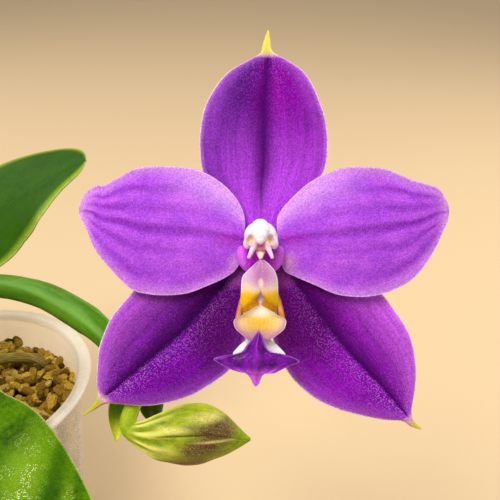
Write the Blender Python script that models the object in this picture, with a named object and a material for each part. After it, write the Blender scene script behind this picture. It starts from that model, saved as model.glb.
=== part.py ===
"""Potted moth orchid: the solid pieces.

Lengths are millimetres here and become metres when a mesh is made. +Z is up and the front is
towards -Y. The origin is the middle of the pot's flat base. The flower is drawn in its own
frame, with its centre at BLOOM_CENTRE: x to the right, y up the flower's face, z out of its
face, which is tilted back by BLOOM_TILT.
"""
import math
import random

import bmesh
import bpy
from mathutils import Vector

METRES = 0.001
GAP = 0.3
SEED = 7

POT_HEIGHT = 75.0
POT_LIP_RADIUS = 40.0
POT_TOP_RADIUS = 36.6
POT_FOOT_RADIUS = 29.0
POT_WALL = 1.0
POT_FLOOR = 1.4
POT_SIDES = 48
DRAIN_COUNT = 5
DRAIN_RADIUS = 2.6
DRAIN_RING = 17.0

MIX_TOP = 62.0
MIX_CROWN = 64.0
MIX_SIDES = 32
CHIP_COUNT = 44
CHIP_LENGTH = (10.0, 16.0)

STEM_X = -10.0
STEM_Y = 5.0
STEM_RADIUS = 6.0
STEM_FOOT = 50.0
STEM_TOP = 98.0

ROOT_RADIUS = 1.9
ROOT_SIDES = 8

BLOOM_CENTRE = Vector((93.0, -65.0, 161.3))
BLOOM_TILT = math.radians(30.0)
BLOOM_UP = Vector((0.0, math.sin(BLOOM_TILT), math.cos(BLOOM_TILT)))
BLOOM_OUT = Vector((0.0, -math.cos(BLOOM_TILT), math.sin(BLOOM_TILT)))

SEPAL_FRONT = -2.1
SEPAL_THICKNESS = 1.0
PETAL_FRONT = -0.6
PETAL_THICKNESS = 1.1
EDGE_THICKNESS = 0.6
BLADE_ROWS = 15
BLADE_COLUMNS = 6
PAD_COLUMNS = 8


# Materials

def make_material(name, colour, roughness):
    """One plain Principled material."""
    material = bpy.data.materials.new(name)
    material.use_nodes = True
    shader = material.node_tree.nodes["Principled BSDF"]
    shader.inputs["Base Color"].default_value = (*colour, 1.0)
    shader.inputs["Roughness"].default_value = roughness
    shader.inputs["Metallic"].default_value = 0.0
    return material


def make_materials():
    """All the materials, by the name that the pieces use."""
    looks = {
        "clear_plastic": ((0.74, 0.76, 0.72), 0.25),
        "bark": ((0.45, 0.27, 0.10), 0.85),
        "stem_green": ((0.16, 0.27, 0.05), 0.5),
        "leaf_green": ((0.05, 0.22, 0.01), 0.3),
        "root_green": ((0.33, 0.38, 0.22), 0.6),
        "spike_green": ((0.14, 0.32, 0.03), 0.4),
        "bract_green": ((0.25, 0.38, 0.06), 0.5),
        "sepal_violet": ((0.13, 0.01, 0.28), 0.45),
        "petal_violet": ((0.38, 0.10, 0.70), 0.5),
        "column_white": ((0.85, 0.78, 0.85), 0.4),
        "cap_cream": ((0.86, 0.78, 0.66), 0.4),
        "foot_magenta": ((0.50, 0.02, 0.60), 0.45),
        "lip_cream": ((0.85, 0.70, 0.75), 0.4),
        "lip_white": ((0.85, 0.80, 0.86), 0.4),
        "callus_orange": ((0.85, 0.40, 0.05), 0.4),
        "midlobe_purple": ((0.10, 0.005, 0.25), 0.35),
        "bud_green": ((0.38, 0.42, 0.03), 0.45),
    }
    return {name: make_material(name, *look) for name, look in looks.items()}


# Small helpers for points and meshes

def from_bloom(x, y, z):
    """A point of the flower's frame in the part's frame."""
    return BLOOM_CENTRE + Vector((x, 0.0, 0.0)) + BLOOM_UP * y + BLOOM_OUT * z


def spline(points, count):
    """A smooth curve through the points, as count + 1 points at even steps along the chords."""
    points = [Vector(point) for point in points]
    reach = [0.0]
    for start, end in zip(points, points[1:]):
        reach.append(reach[-1] + (end - start).length)
    curve = []
    for step in range(count + 1):
        wanted = reach[-1] * step / count
        span = 0
        while span < len(points) - 2 and reach[span + 1] < wanted:
            span += 1
        share = (wanted - reach[span]) / (reach[span + 1] - reach[span])
        a = points[max(span - 1, 0)]
        b = points[span]
        c = points[span + 1]
        d = points[min(span + 2, len(points) - 1)]
        speed = (c - a) * 0.5
        square = (c - b) * 3.0 - speed * 2.0 - (d - b) * 0.5
        cube = (b - c) * 2.0 + speed + (d - b) * 0.5
        curve.append(b + speed * share + square * share ** 2 + cube * share ** 3)
    return curve


def profile(table, share):
    """The value at a share of the way, from (share, value) pairs with straight runs between them."""
    for (start, low), (end, high) in zip(table, table[1:]):
        if share <= end:
            part = (share - start) / (end - start)
            return low + (high - low) * part
    return table[-1][1]


def make_piece(name, points, faces, material, smooth=True):
    """A mesh object of points in millimetres."""
    mesh = bpy.data.meshes.new(name)
    mesh.from_pydata([Vector(point) * METRES for point in points], [], faces)
    mesh.materials.append(material)
    for polygon in mesh.polygons:
        polygon.use_smooth = smooth
    piece = bpy.data.objects.new(name, mesh)
    bpy.context.scene.collection.objects.link(piece)
    return piece


def make_skin(name, rings, material, smooth=True):
    """A closed solid through rings of points, all of one length, with a flat cap at each end."""
    sides = len(rings[0])
    points = [point for ring in rings for point in ring]
    faces = []
    for row in range(len(rings) - 1):
        for side in range(sides):
            after = (side + 1) % sides
            low = row * sides
            high = low + sides
            faces.append((low + side, low + after, high + after))
            faces.append((low + side, high + after, high + side))
    for first, middle, flip in ((0, rings[0], True), ((len(rings) - 1) * sides, rings[-1], False)):
        points.append(sum((Vector(point) for point in middle), Vector()) / sides)
        hub = len(points) - 1
        for side in range(sides):
            after = (side + 1) % sides
            face = (first + side, first + after, hub)
            faces.append(face[::-1] if flip else face)
    return make_piece(name, points, faces, material, smooth)


def make_tube(name, path, radii, sides, material):
    """A round stem along a path, with a radius for each of its points."""
    rings = []
    side_way = None
    for index, centre in enumerate(path):
        ahead = path[min(index + 1, len(path) - 1)]
        behind = path[max(index - 1, 0)]
        along = (ahead - behind).normalized()
        if side_way is None:
            side_way = along.orthogonal().normalized()
        side_way = (side_way - along * side_way.dot(along)).normalized()
        other_way = along.cross(side_way)
        ring = []
        for side in range(sides):
            angle = math.tau * side / sides
            across = side_way * math.cos(angle) + other_way * math.sin(angle)
            ring.append(centre + across * radii[index])
        rings.append(ring)
    return make_skin(name, rings, material)


def make_turned(name, outline, sides, material):
    """A turned solid from (radius, height) pairs that run from the axis back to the axis."""
    points = []
    rows = []
    for radius, height in outline:
        if radius == 0.0:
            rows.append([len(points)] * sides)
            points.append((0.0, 0.0, height))
            continue
        rows.append(list(range(len(points), len(points) + sides)))
        for side in range(sides):
            angle = math.tau * side / sides
            points.append((radius * math.cos(angle), radius * math.sin(angle), height))
    faces = []
    for low, high in zip(rows, rows[1:]):
        for side in range(sides):
            after = (side + 1) % sides
            corners = [low[side], low[after], high[after], high[side]]
            face = tuple(dict.fromkeys(corners))
            if len(face) > 2:
                faces.append(face)
    return make_piece(name, points, faces, material)


def make_sheet(name, front, thickness, material, back_way=None):
    """A closed sheet from a grid of front points and its thickness at each of them.

    The back lies along the surface's own normal, or along back_way if that is given.
    """
    rows = len(front)
    columns = len(front[0])
    points = [Vector(point) for line in front for point in line]
    for row in range(rows):
        for column in range(columns):
            if back_way is None:
                along = front[min(row + 1, rows - 1)][column] - front[max(row - 1, 0)][column]
                across = front[row][min(column + 1, columns - 1)] - front[row][max(column - 1, 0)]
                way = along.cross(across).normalized()
            else:
                way = back_way
            points.append(front[row][column] + way * thickness[row][column])
    back = rows * columns
    faces = []
    for row in range(rows - 1):
        for column in range(columns - 1):
            corner = row * columns + column
            below = corner + columns
            faces.append((corner, corner + 1, below + 1))
            faces.append((corner, below + 1, below))
            faces.append((back + corner, back + below + 1, back + corner + 1))
            faces.append((back + corner, back + below, back + below + 1))
    rim = list(range(columns))
    rim += [row * columns + columns - 1 for row in range(1, rows)]
    rim += [(rows - 1) * columns + column for column in range(columns - 2, -1, -1)]
    rim += [row * columns for row in range(rows - 2, 0, -1)]
    for start, end in zip(rim, rim[1:] + rim[:1]):
        faces.append((start, back + start, back + end))
        faces.append((start, back + end, end))
    return make_piece(name, points, faces, material)


# Booleans

def apply_boolean(target, operation, solver, other=None, group=None):
    """Apply one Boolean to the target, with one object or a collection of them."""
    modifier = target.modifiers.new(operation.lower(), "BOOLEAN")
    modifier.operation = operation
    modifier.solver = solver
    if group is None:
        modifier.object = other
    else:
        modifier.operand_type = "COLLECTION"
        modifier.collection = group
    bpy.context.view_layer.objects.active = target
    bpy.ops.object.modifier_apply(modifier=modifier.name)


def remove_all(pieces):
    """Remove helper objects and their meshes."""
    for piece in pieces:
        mesh = piece.data
        bpy.data.objects.remove(piece)
        bpy.data.meshes.remove(mesh)


def join_group(target, pieces, operation, solver):
    """Fuse pieces into the target, or cut them from it, in one Boolean on their collection."""
    group = bpy.data.collections.new("helpers")
    bpy.context.scene.collection.children.link(group)
    for piece in pieces:
        group.objects.link(piece)
        bpy.context.scene.collection.objects.unlink(piece)
    apply_boolean(target, operation, solver, group=group)
    remove_all(pieces)
    bpy.data.collections.remove(group)


def keep_main_body(piece):
    """Remove every loose crumb that a cut has left, and keep the largest body."""
    work = bmesh.new()
    work.from_mesh(piece.data)
    left = set(work.verts)
    bodies = []
    while left:
        body = set()
        queue = [left.pop()]
        while queue:
            point = queue.pop()
            body.add(point)
            for edge in point.link_edges:
                neighbour = edge.other_vert(point)
                if neighbour in left:
                    left.remove(neighbour)
                    queue.append(neighbour)
        bodies.append(body)
    bodies.sort(key=len)
    for body in bodies[:-1]:
        bmesh.ops.delete(work, geom=list(body), context="VERTS")
    work.to_mesh(piece.data)
    work.free()


# Pot and filling

def wall_radius(height):
    """Outer radius of the pot's wall at a height."""
    return POT_FOOT_RADIUS + (POT_TOP_RADIUS - POT_FOOT_RADIUS) * height / POT_HEIGHT


def make_pot(materials):
    """Thin tapered pot with a flat lip turned outwards and drain holes in its floor."""
    lip = 2.2
    outline = [
        (0.0, 0.0),
        (POT_FOOT_RADIUS - 1.2, 0.0),
        (wall_radius(1.2), 1.2),
        (wall_radius(POT_HEIGHT - lip), POT_HEIGHT - lip),
        (POT_LIP_RADIUS - 0.5, POT_HEIGHT - lip + 0.6),
        (POT_LIP_RADIUS, POT_HEIGHT - 1.0),
        (POT_LIP_RADIUS - 0.4, POT_HEIGHT - 0.2),
        (POT_LIP_RADIUS - 1.0, POT_HEIGHT),
        (POT_TOP_RADIUS, POT_HEIGHT - 0.1),
        (wall_radius(POT_HEIGHT) - POT_WALL, POT_HEIGHT - 1.0),
        (wall_radius(2.4) - POT_WALL, 2.4),
        (wall_radius(POT_FLOOR) - POT_WALL - 1.0, POT_FLOOR),
        (0.0, POT_FLOOR),
    ]
    pot = make_turned("pot", outline, POT_SIDES, materials["clear_plastic"])
    drains = []
    for hole in range(DRAIN_COUNT):
        angle = math.tau * hole / DRAIN_COUNT
        foot = Vector((DRAIN_RING * math.cos(angle), DRAIN_RING * math.sin(angle), -2.0))
        path = [foot, foot + Vector((0.0, 0.0, 6.0))]
        drain = make_tube("drain", path, [DRAIN_RADIUS] * 2, 12, materials["clear_plastic"])
        drains.append(drain)
    join_group(pot, drains, "DIFFERENCE", "EXACT")
    return pot


def make_chip(draw, centre, material):
    """One bark chip: a box with uneven corners, lying at a slant."""
    length = draw.uniform(*CHIP_LENGTH)
    width = length * draw.uniform(0.5, 0.75)
    depth = length * draw.uniform(0.28, 0.42)
    turn = draw.uniform(0.0, math.tau)
    lean = draw.uniform(-0.5, 0.5)
    along = Vector((math.cos(turn) * math.cos(lean), math.sin(turn) * math.cos(lean), math.sin(lean)))
    across = along.cross(Vector((0.0, 0.0, 1.0))).normalized()
    roll = draw.uniform(-0.4, 0.4)
    flat_up = along.cross(across)
    up = flat_up * math.cos(roll) - across * math.sin(roll)
    across = across * math.cos(roll) + flat_up * math.sin(roll)
    rings = []
    for end in (-0.5, 0.5):
        ring = []
        for right, top in ((-0.5, -0.5), (0.5, -0.5), (0.5, 0.5), (-0.5, 0.5)):
            uneven = [draw.uniform(0.72, 1.0) for _ in range(3)]
            corner = centre + along * end * length * uneven[0]
            corner = corner + across * right * width * uneven[1]
            ring.append(corner + up * top * depth * uneven[2])
        rings.append(ring)
    return make_skin("chip", rings, material, smooth=False)


def make_bark_mix(materials, hole_makers):
    """The pot's filling: one core with bark chips fused into its top, and holes for the stems."""
    gap_radius = POT_WALL + GAP
    outline = [
        (0.0, POT_FLOOR + GAP),
        (wall_radius(2.4) - gap_radius - 1.2, POT_FLOOR + GAP),
        (wall_radius(3.2) - gap_radius, 3.2),
        (wall_radius(MIX_TOP) - gap_radius, MIX_TOP),
        (0.0, MIX_CROWN),
    ]
    mix = make_turned("bark_mix", outline, MIX_SIDES, materials["bark"])
    draw = random.Random(SEED)
    chips = []
    for index in range(CHIP_COUNT):
        share = (index + 0.5) / CHIP_COUNT
        radius = (wall_radius(MIX_TOP) - 3.0) * math.sqrt(share)
        angle = index * math.radians(137.5) + draw.uniform(-0.2, 0.2)
        height = MIX_TOP + draw.uniform(0.5, 3.0)
        centre = Vector((radius * math.cos(angle), radius * math.sin(angle), height))
        chips.append(make_chip(draw, centre, materials["bark"]))
    join_group(mix, chips, "UNION", "MANIFOLD")
    limit_outline = [
        (0.0, 0.0),
        (wall_radius(0.0) - gap_radius, 0.0),
        (wall_radius(POT_HEIGHT) - gap_radius, POT_HEIGHT),
        (0.0, POT_HEIGHT),
    ]
    limit = make_turned("limit", limit_outline, MIX_SIDES, materials["bark"])
    apply_boolean(mix, "INTERSECT", "MANIFOLD", other=limit)
    remove_all([limit])
    join_group(mix, hole_makers, "DIFFERENCE", "MANIFOLD")
    keep_main_body(mix)
    for polygon in mix.data.polygons:
        polygon.use_smooth = False
    return mix


# Stem, roots and leaves

def stem_path(extra=0.0):
    """Centre line and radii of the short stem."""
    heights = (STEM_FOOT, 58.0, 70.0, 82.0, 92.0, STEM_TOP)
    radii = (3.5, 5.2, STEM_RADIUS, STEM_RADIUS, STEM_RADIUS, 2.6)
    path = [Vector((STEM_X, STEM_Y, height)) for height in heights]
    if extra:
        path[0].z -= extra
    return path, [radius + extra for radius in radii]


ROOTS = {
    "root_1": [(2, 0), (13, -6), (22, -10), (27, -9)],
    "root_2": [(-6, -6), (-1, -17), (6, -23), (13, -26)],
    "root_3": [(-14, -5), (-18, -13), (-19, -20), (-15, -25)],
    "root_4": [(-19, 2), (-24, -1), (-27, -5), (-27, -10)],
    "root_5": [(-14, 14), (-17, 19), (-17, 23), (-12, 26)],
    "root_6": [(-2, 11), (9, 17), (18, 19), (23, 16)],
}
ROOT_HEIGHTS = (70.5, 70.0, 66.0, 56.0)


def root_path(name, extra=0.0):
    """Centre line and radii of one root, from the stem's side down into the mix."""
    stem = Vector((STEM_X, STEM_Y, 0.0))
    first = Vector((*ROOTS[name][0], 0.0))
    outwards = (first - stem).normalized()
    start = stem + outwards * (STEM_RADIUS + 2.0 * GAP) + Vector((0.0, 0.0, 71.0))
    points = [start]
    for (x, y), height in zip(ROOTS[name], ROOT_HEIGHTS):
        points.append(Vector((x, y, height)))
    path = spline(points, 11)
    radii = [ROOT_RADIUS + extra] * 11 + [ROOT_RADIUS * 0.6 + extra]
    if extra:
        path[-1] = path[-1] + (path[-1] - path[-2]).normalized() * extra
        path[0] = path[0] + (path[0] - path[1]).normalized() * extra
    return path, radii


# For each leaf: its midrib, half width, and fold of the blade
LEAVES = {
    "leaf_1": ([(-7.2, -1.0, 77.5), (-1.5, -13, 82), (7, -31, 84.5), (17.5, -54, 85), (28, -77, 83),
                (38.5, -99, 78), (47, -117, 71), (53, -130, 64)], 32.0, 0.16),
    "leaf_2": ([(-9.3, 12.4, 90.5), (-5, 24, 101.5), (4, 37, 113.5), (18, 45, 124), (36, 48.2, 132)],
               28.0, 0.22),
    "leaf_3": ([(-16.1, 8.2, 85.5), (-29.5, 15.5, 92), (-54, 28.5, 99), (-80.5, 42.5, 99),
                (-102.5, 54, 91), (-117.5, 62, 80)], 35.0, 0.20),
    "leaf_4": ([(-15.2, 0.7, 80.0), (-27, -9, 84), (-48.5, -27, 87), (-70, -45, 83),
                (-86.5, -59.5, 73), (-96, -67, 64)], 32.0, 0.22),
    "leaf_5": ([(-10.2, 5.0, 98.8), (-12.5, 4.5, 106), (-18, 3, 120), (-27, 0, 133)],
               13.0, 0.45),
}
LEAF_WIDTHS = [(0.0, 0.17), (0.08, 0.29), (0.2, 0.48), (0.3, 0.74), (0.4, 0.89), (0.55, 1.0),
               (0.7, 0.97), (0.84, 0.77), (0.93, 0.5), (0.98, 0.26), (1.0, 0.07)]
LEAF_ROWS = 15
LEAF_COLUMNS = 6


def leaf_grid(name, rows, columns):
    """Front points and thickness of one leaf, on a grid from its base to its tip."""
    midrib, half_width, fold = LEAVES[name]
    path = spline(midrib, rows)
    front = []
    thickness = []
    for row, centre in enumerate(path):
        share = row / rows
        ahead = path[min(row + 1, rows)]
        behind = path[max(row - 1, 0)]
        along = (ahead - behind).normalized()
        right = along.cross(Vector((0.0, 0.0, 1.0))).normalized()
        up = right.cross(along)
        width = half_width * profile(LEAF_WIDTHS, share)
        trough = fold * (1.0 + 2.5 * (1.0 - share) ** 4)
        line = []
        depths = []
        for column in range(columns + 1):
            across = 2.0 * column / columns - 1.0
            lift = width * (trough * abs(across) ** 1.3 - 0.22 * share * abs(across) ** 3)
            line.append(centre + right * across * width + up * lift)
            depths.append(0.8 + 1.2 * (1.0 - across ** 2) * (1.0 - 0.4 * share))
        front.append(line)
        thickness.append(depths)
    return front, thickness


def make_leaf(name, materials):
    """One thick channelled leaf."""
    front, thickness = leaf_grid(name, LEAF_ROWS, LEAF_COLUMNS)
    return make_sheet(name, front, thickness, materials["leaf_green"])


# Flower spike

SPIKE = [(-2.9, -0.5, 88.5), (1.5, -4.5, 98), (8, -10, 110), (17, -16, 120), (27.6, -23.1, 126.2),
         (43.9, -39.8, 134.8), (56.5, -55.9, 141.0), (63.7, -64.6, 142.6), (68.3, -67.8, 138.6),
         (71.0, -69.0, 134.6), (72.2, -69.3, 131.9)]
SPIKE_STEPS = 22
SPIKE_RADII = [(0.0, 2.6), (0.1, 3.0), (0.75, 3.1), (0.86, 2.8), (1.0, 1.6)]


def make_spike(materials):
    """The thick arching spike, slightly flattened."""
    path = spline(SPIKE, SPIKE_STEPS)
    radii = [profile(SPIKE_RADII, step / SPIKE_STEPS) for step in range(SPIKE_STEPS + 1)]
    return make_tube("flower_spike", path, radii, 10, materials["spike_green"])


def make_bract(name, base, tip, out, width, materials):
    """A small scale from base to tip, bulging outwards, with its back towards the spike."""
    base = Vector(base)
    tip = Vector(tip)
    out = Vector(out).normalized()
    along = tip - base
    right = along.cross(out).normalized()
    out = right.cross(along).normalized()
    widths = (0.85, 1.0, 0.85, 0.5, 0.12)
    front = []
    for row, share in enumerate((0.0, 0.25, 0.5, 0.75, 1.0)):
        centre = base + along * share + out * 0.16 * along.length * math.sin(math.pi * share)
        half = width * widths[row] / 2.0
        front.append([centre + right * across * half - out * half * 0.9 * across ** 2
                      for across in (-1.0, -0.5, 0.0, 0.5, 1.0)])
    thickness = [[EDGE_THICKNESS] * 5 for _ in front]
    return make_sheet(name, front, thickness, materials["bract_green"], back_way=-out)


# Flower: outlines are (x, y) in its frame, from the middle of the flower to the tip

DORSAL_LEFT = [(-1.6, 3.0), (-3.6, 6.4), (-6.9, 10.5), (-8.9, 14.6), (-9.5, 19.1), (-9.3, 23.0),
               (-8.4, 27.1), (-6.4, 30.8), (-3.9, 33.7), (-0.2, 35.9), (2.0, 37.2), (2.3, 38.9),
               (2.7, 41.2)]
DORSAL_RIGHT = [(5.6, 3.0), (7.9, 6.4), (11.3, 10.5), (14.0, 15.2), (14.6, 19.4), (14.4, 23.0),
                (13.6, 26.5), (11.8, 31.0), (9.9, 33.8), (7.1, 35.8), (4.4, 37.4), (4.0, 39.0),
                (3.8, 41.4)]
LATERAL_LEFT_UPPER = [(-0.6, 2.4), (-4.5, 1.3), (-11.4, -1.7), (-17.8, -4.3), (-21.7, -7.5),
                      (-25.6, -12.0), (-27.3, -15.3), (-28.4, -18.5), (-28.8, -21.7),
                      (-29.0, -25.0), (-29.4, -27.6), (-31.2, -30.0), (-32.4, -31.3)]
LATERAL_LEFT_LOWER = [(1.4, 0.2), (1.5, -4.7), (0.7, -11.2), (-1.1, -17.8), (-3.9, -22.6),
                      (-9.2, -26.4), (-12.5, -27.9), (-15.7, -28.8), (-18.9, -29.3),
                      (-22.1, -29.3), (-26.0, -29.2), (-30.0, -31.2), (-31.6, -32.2)]
LATERAL_RIGHT_UPPER = [(4.7, 2.2), (9.4, 0.7), (15.9, -2.2), (21.0, -5.1), (24.9, -8.4),
                       (29.0, -14.0), (30.5, -17.4), (31.2, -21.0), (31.3, -24.3),
                       (30.9, -28.2), (30.8, -31.2), (32.0, -33.2), (33.2, -34.0)]
LATERAL_RIGHT_LOWER = [(2.3, 0.0), (2.4, -5.6), (3.4, -12.2), (4.9, -18.7), (7.6, -23.6),
                       (10.3, -26.4), (12.9, -28.3), (16.1, -29.8), (19.3, -30.8),
                       (23.6, -31.8), (28.4, -32.6), (30.8, -34.2), (32.4, -35.0)]
PETAL_LEFT_UPPER = [(-1.1, 2.9), (-0.9, 5.5), (-1.9, 8.5), (-4.4, 11.6), (-7.9, 14.0),
                    (-11.4, 15.1), (-16.2, 15.4), (-20.9, 15.0), (-24.0, 13.5), (-27.0, 12.0),
                    (-28.3, 12.1), (-30.8, 10.5), (-32.0, 8.0)]
PETAL_LEFT_LOWER = [(-1.1, 0.9), (-1.6, -1.5), (-2.6, -3.6), (-4.6, -5.1), (-7.9, -6.6),
                    (-11.4, -7.9), (-15.1, -8.3), (-18.7, -8.1), (-22.1, -7.0), (-26.8, -2.4),
                    (-29.0, 0.6), (-30.4, 3.7), (-31.9, 6.4)]
PETAL_RIGHT_UPPER = [(5.1, 2.6), (4.9, 5.0), (5.4, 6.8), (7.3, 9.2), (10.5, 12.1),
                     (13.8, 14.0), (17.1, 15.1), (21.1, 15.3), (25.3, 14.8), (29.6, 13.1),
                     (32.8, 12.2), (35.3, 11.2), (37.3, 8.0)]
PETAL_RIGHT_LOWER = [(5.1, 0.6), (5.7, -1.5), (6.3, -3.8), (8.8, -5.1), (12.3, -6.6),
                     (15.8, -8.1), (19.5, -8.6), (23.0, -8.4), (26.5, -7.3), (30.2, -5.1),
                     (33.5, -1.1), (35.5, 2.4), (37.2, 6.0)]


def sepal_shape(share, across):
    """How far a sepal's front lies behind its highest line: groove, fall of the edges, tip."""
    groove = 0.6 * max(0.0, 1.0 - abs(across) / 0.25)
    edge = 0.9 * max(0.0, (abs(across) - 0.45) / 0.55) ** 2
    return -(groove * math.sin(math.pi * min(1.0, 0.1 + share)) + edge + 1.9 * share ** 3)


def petal_shape(share, across):
    """How far a petal's front lies before its base: a low dome whose tip leans back."""
    dome = 1.3 * (1.0 - across ** 2) * math.sin(math.pi * min(1.0, share * 1.1)) ** 0.8
    return dome - 2.4 * max(0.0, share - 0.5) ** 2 / 0.25


def blade_grid(left, right, base_front, middle, shape, rows, columns):
    """Front points and thickness of one petal or sepal between its two edges."""
    left_edge = spline([(x, y, 0.0) for x, y in left], rows)
    right_edge = spline([(x, y, 0.0) for x, y in right], rows)
    front = []
    thickness = []
    for row in range(rows + 1):
        share = row / rows
        line = []
        depths = []
        for column in range(columns + 1):
            across = 2.0 * column / columns - 1.0
            flat = left_edge[row].lerp(right_edge[row], column / columns)
            line.append(from_bloom(flat.x, flat.y, base_front + shape(share, across)))
            depths.append(EDGE_THICKNESS + (middle - EDGE_THICKNESS) * (1.0 - across ** 2))
        front.append(line)
        thickness.append(depths)
    return front, thickness


def make_blade(name, left, right, base_front, middle, shape, material):
    """One petal or sepal of the flower, with its back straight behind its front."""
    front, thickness = blade_grid(left, right, base_front, middle, shape, BLADE_ROWS, BLADE_COLUMNS)
    return make_sheet(name, front, thickness, material, back_way=-BLOOM_OUT)


def make_sepals_and_petals(materials):
    """Three sepals, and two broad petals in front of them."""
    sepal = materials["sepal_violet"]
    petal = materials["petal_violet"]
    sepals = (
        ("dorsal_sepal", DORSAL_LEFT, DORSAL_RIGHT),
        ("lateral_sepal_left", LATERAL_LEFT_LOWER, LATERAL_LEFT_UPPER),
        ("lateral_sepal_right", LATERAL_RIGHT_UPPER, LATERAL_RIGHT_LOWER),
    )
    petals = (
        ("petal_left", PETAL_LEFT_LOWER, PETAL_LEFT_UPPER),
        ("petal_right", PETAL_RIGHT_UPPER, PETAL_RIGHT_LOWER),
    )
    for name, left, right in sepals:
        make_blade(name, left, right, SEPAL_FRONT, SEPAL_THICKNESS, sepal_shape, sepal)
    for name, left, right in petals:
        make_blade(name, left, right, PETAL_FRONT, PETAL_THICKNESS, petal_shape, petal)


# Each section is (x, y, z, half width, height above the centre, height below it)
COLUMN_SECTIONS = [(2.0, 2.3, -1.8, 2.4, 2.4, 2.0), (2.0, 2.3, 0.5, 2.3, 2.4, 2.0),
                   (1.9, 2.0, 3.0, 2.9, 3.0, 1.8), (1.8, 1.6, 5.0, 3.3, 3.8, 1.6),
                   (1.8, 1.6, 6.0, 2.9, 3.4, 1.4)]
CAP_SECTIONS = [(1.8, 1.5, 6.3, 2.3, 2.7, 1.9), (1.8, 1.5, 7.2, 2.0, 2.3, 2.2),
                (1.8, 1.6, 7.9, 1.0, 1.3, 1.4)]
COLUMN_SIDES = 14


def bloom_ring(x, y, z, half_width, height_above, height_below, sides):
    """An oval ring that faces out of the flower."""
    ring = []
    for side in range(sides):
        angle = math.tau * side / sides
        height = height_above if math.sin(angle) > 0.0 else height_below
        ring.append(from_bloom(x + half_width * math.cos(angle), y + height * math.sin(angle), z))
    return ring


def make_column(materials):
    """The column that stands out of the flower's middle, and the cap on its end."""
    rings = [bloom_ring(*section, COLUMN_SIDES) for section in COLUMN_SECTIONS]
    make_skin("column", rings, materials["column_white"])
    rings = [bloom_ring(*section, COLUMN_SIDES) for section in CAP_SECTIONS]
    make_skin("anther_cap", rings, materials["cap_cream"])


def make_pad(name, rows, backs, dome, material):
    """A low pad of the lip, from its top row down.

    Each row is (left x, right x, y at the ends, y in the middle, front z), and backs gives the
    depth of the row's flat back. Its edges are lower than its middle by dome at most.
    """
    front = []
    thickness = []
    for (left, right, end_y, middle_y, front_z), back in zip(reversed(rows), reversed(backs)):
        fall = min(dome, 0.25 * (right - left))
        line = []
        depths = []
        for column in range(PAD_COLUMNS + 1):
            share = column / PAD_COLUMNS
            across = 2.0 * share - 1.0
            x = left + (right - left) * share
            y = middle_y + (end_y - middle_y) * abs(across)
            z = front_z - fall * across ** 2
            line.append(from_bloom(x, y, z))
            depths.append(max(z - back, EDGE_THICKNESS))
        front.append(line)
        thickness.append(depths)
    return make_sheet(name, front, thickness, material, back_way=-BLOOM_OUT)


COLUMN_FOOT = [(-1.8, 5.6, 0.8, -0.4, 1.1), (-2.3, 6.1, -0.4, -0.9, 1.3), (-2.4, 6.3, -1.7, -1.9, 1.3),
               (-1.9, 5.8, -2.9, -2.9, 1.2), (-0.7, 4.4, -4.0, -4.0, 1.1)]
LIP_PLATE = [(-0.2, 4.0, -4.4, -4.4, 1.2), (-1.0, 4.6, -8.0, -8.0, 1.2), (-1.4, 5.0, -12.0, -12.0, 1.2),
             (-1.3, 4.8, -14.6, -14.6, 1.2), (-0.5, 4.0, -16.0, -16.0, 1.2),
             (-2.9, 6.1, -18.4, -18.4, 1.2), (-2.2, 5.4, -19.3, -19.3, 1.1)]
SIDE_LOBES = [(1.2, 2.4, -1.9, -1.8, 4.2), (0.6, 3.3, -2.8, -2.6, 4.8), (-1.0, 4.4, -4.0, -3.6, 5.2),
              (-1.6, 4.9, -6.0, -5.4, 5.2), (-1.7, 5.1, -8.2, -7.2, 4.8), (-2.3, 5.7, -10.2, -8.7, 4.4),
              (-2.2, 5.7, -11.5, -9.4, 4.0)]
CALLUS = [(1.2, 2.3, -10.1, -9.8, 2.8), (-1.0, 4.6, -12.0, -10.8, 3.4), (-2.8, 6.3, -13.0, -12.4, 3.6),
          (-2.5, 6.1, -14.2, -14.0, 3.5), (-1.6, 5.1, -15.2, -15.2, 3.2), (-0.5, 3.8, -16.0, -16.0, 3.0)]
MIDLOBE = [(1.3, 1.9, -14.2, -14.2, 4.7), (0.5, 2.4, -15.4, -15.4, 5.0), (-0.5, 2.9, -16.5, -16.5, 5.1),
           (-1.3, 3.4, -17.6, -17.5, 5.1), (-3.4, 5.8, -18.4, -18.2, 4.8), (-6.4, 8.8, -19.4, -19.1, 4.5),
           (-4.9, 6.9, -20.4, -20.2, 4.5), (-2.6, 5.0, -21.3, -21.2, 4.4), (-0.6, 2.9, -21.9, -21.9, 4.3),
           (0.2, 2.0, -22.8, -22.8, 4.1), (0.7, 1.4, -23.9, -23.9, 3.6)]
LIP_BASE_BACK = 0.3
LIP_UPPER_BACK = 1.6
MIDLOBE_STALK_ROWS = 3
MIDLOBE_STALK_BACK = 3.9


def make_lip(materials):
    """The lip's pieces, by colour: foot, white plate, side lobes, callus and purple midlobe.

    The midlobe's stalk passes in front of the callus, so its first rows have a nearer back.
    """
    pads = (
        ("column_foot", COLUMN_FOOT, LIP_BASE_BACK, 0.2, "foot_magenta"),
        ("lip_plate", LIP_PLATE, LIP_BASE_BACK, 0.1, "lip_white"),
        ("lip_side_lobes", SIDE_LOBES, LIP_UPPER_BACK, 1.2, "lip_cream"),
        ("lip_callus", CALLUS, LIP_UPPER_BACK, 0.9, "callus_orange"),
    )
    for name, rows, back, dome, colour in pads:
        make_pad(name, rows, [back] * len(rows), dome, materials[colour])
    backs = [MIDLOBE_STALK_BACK] * MIDLOBE_STALK_ROWS
    backs += [LIP_UPPER_BACK] * (len(MIDLOBE) - MIDLOBE_STALK_ROWS)
    make_pad("lip_midlobe", MIDLOBE, backs, 1.4, materials["midlobe_purple"])


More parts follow.
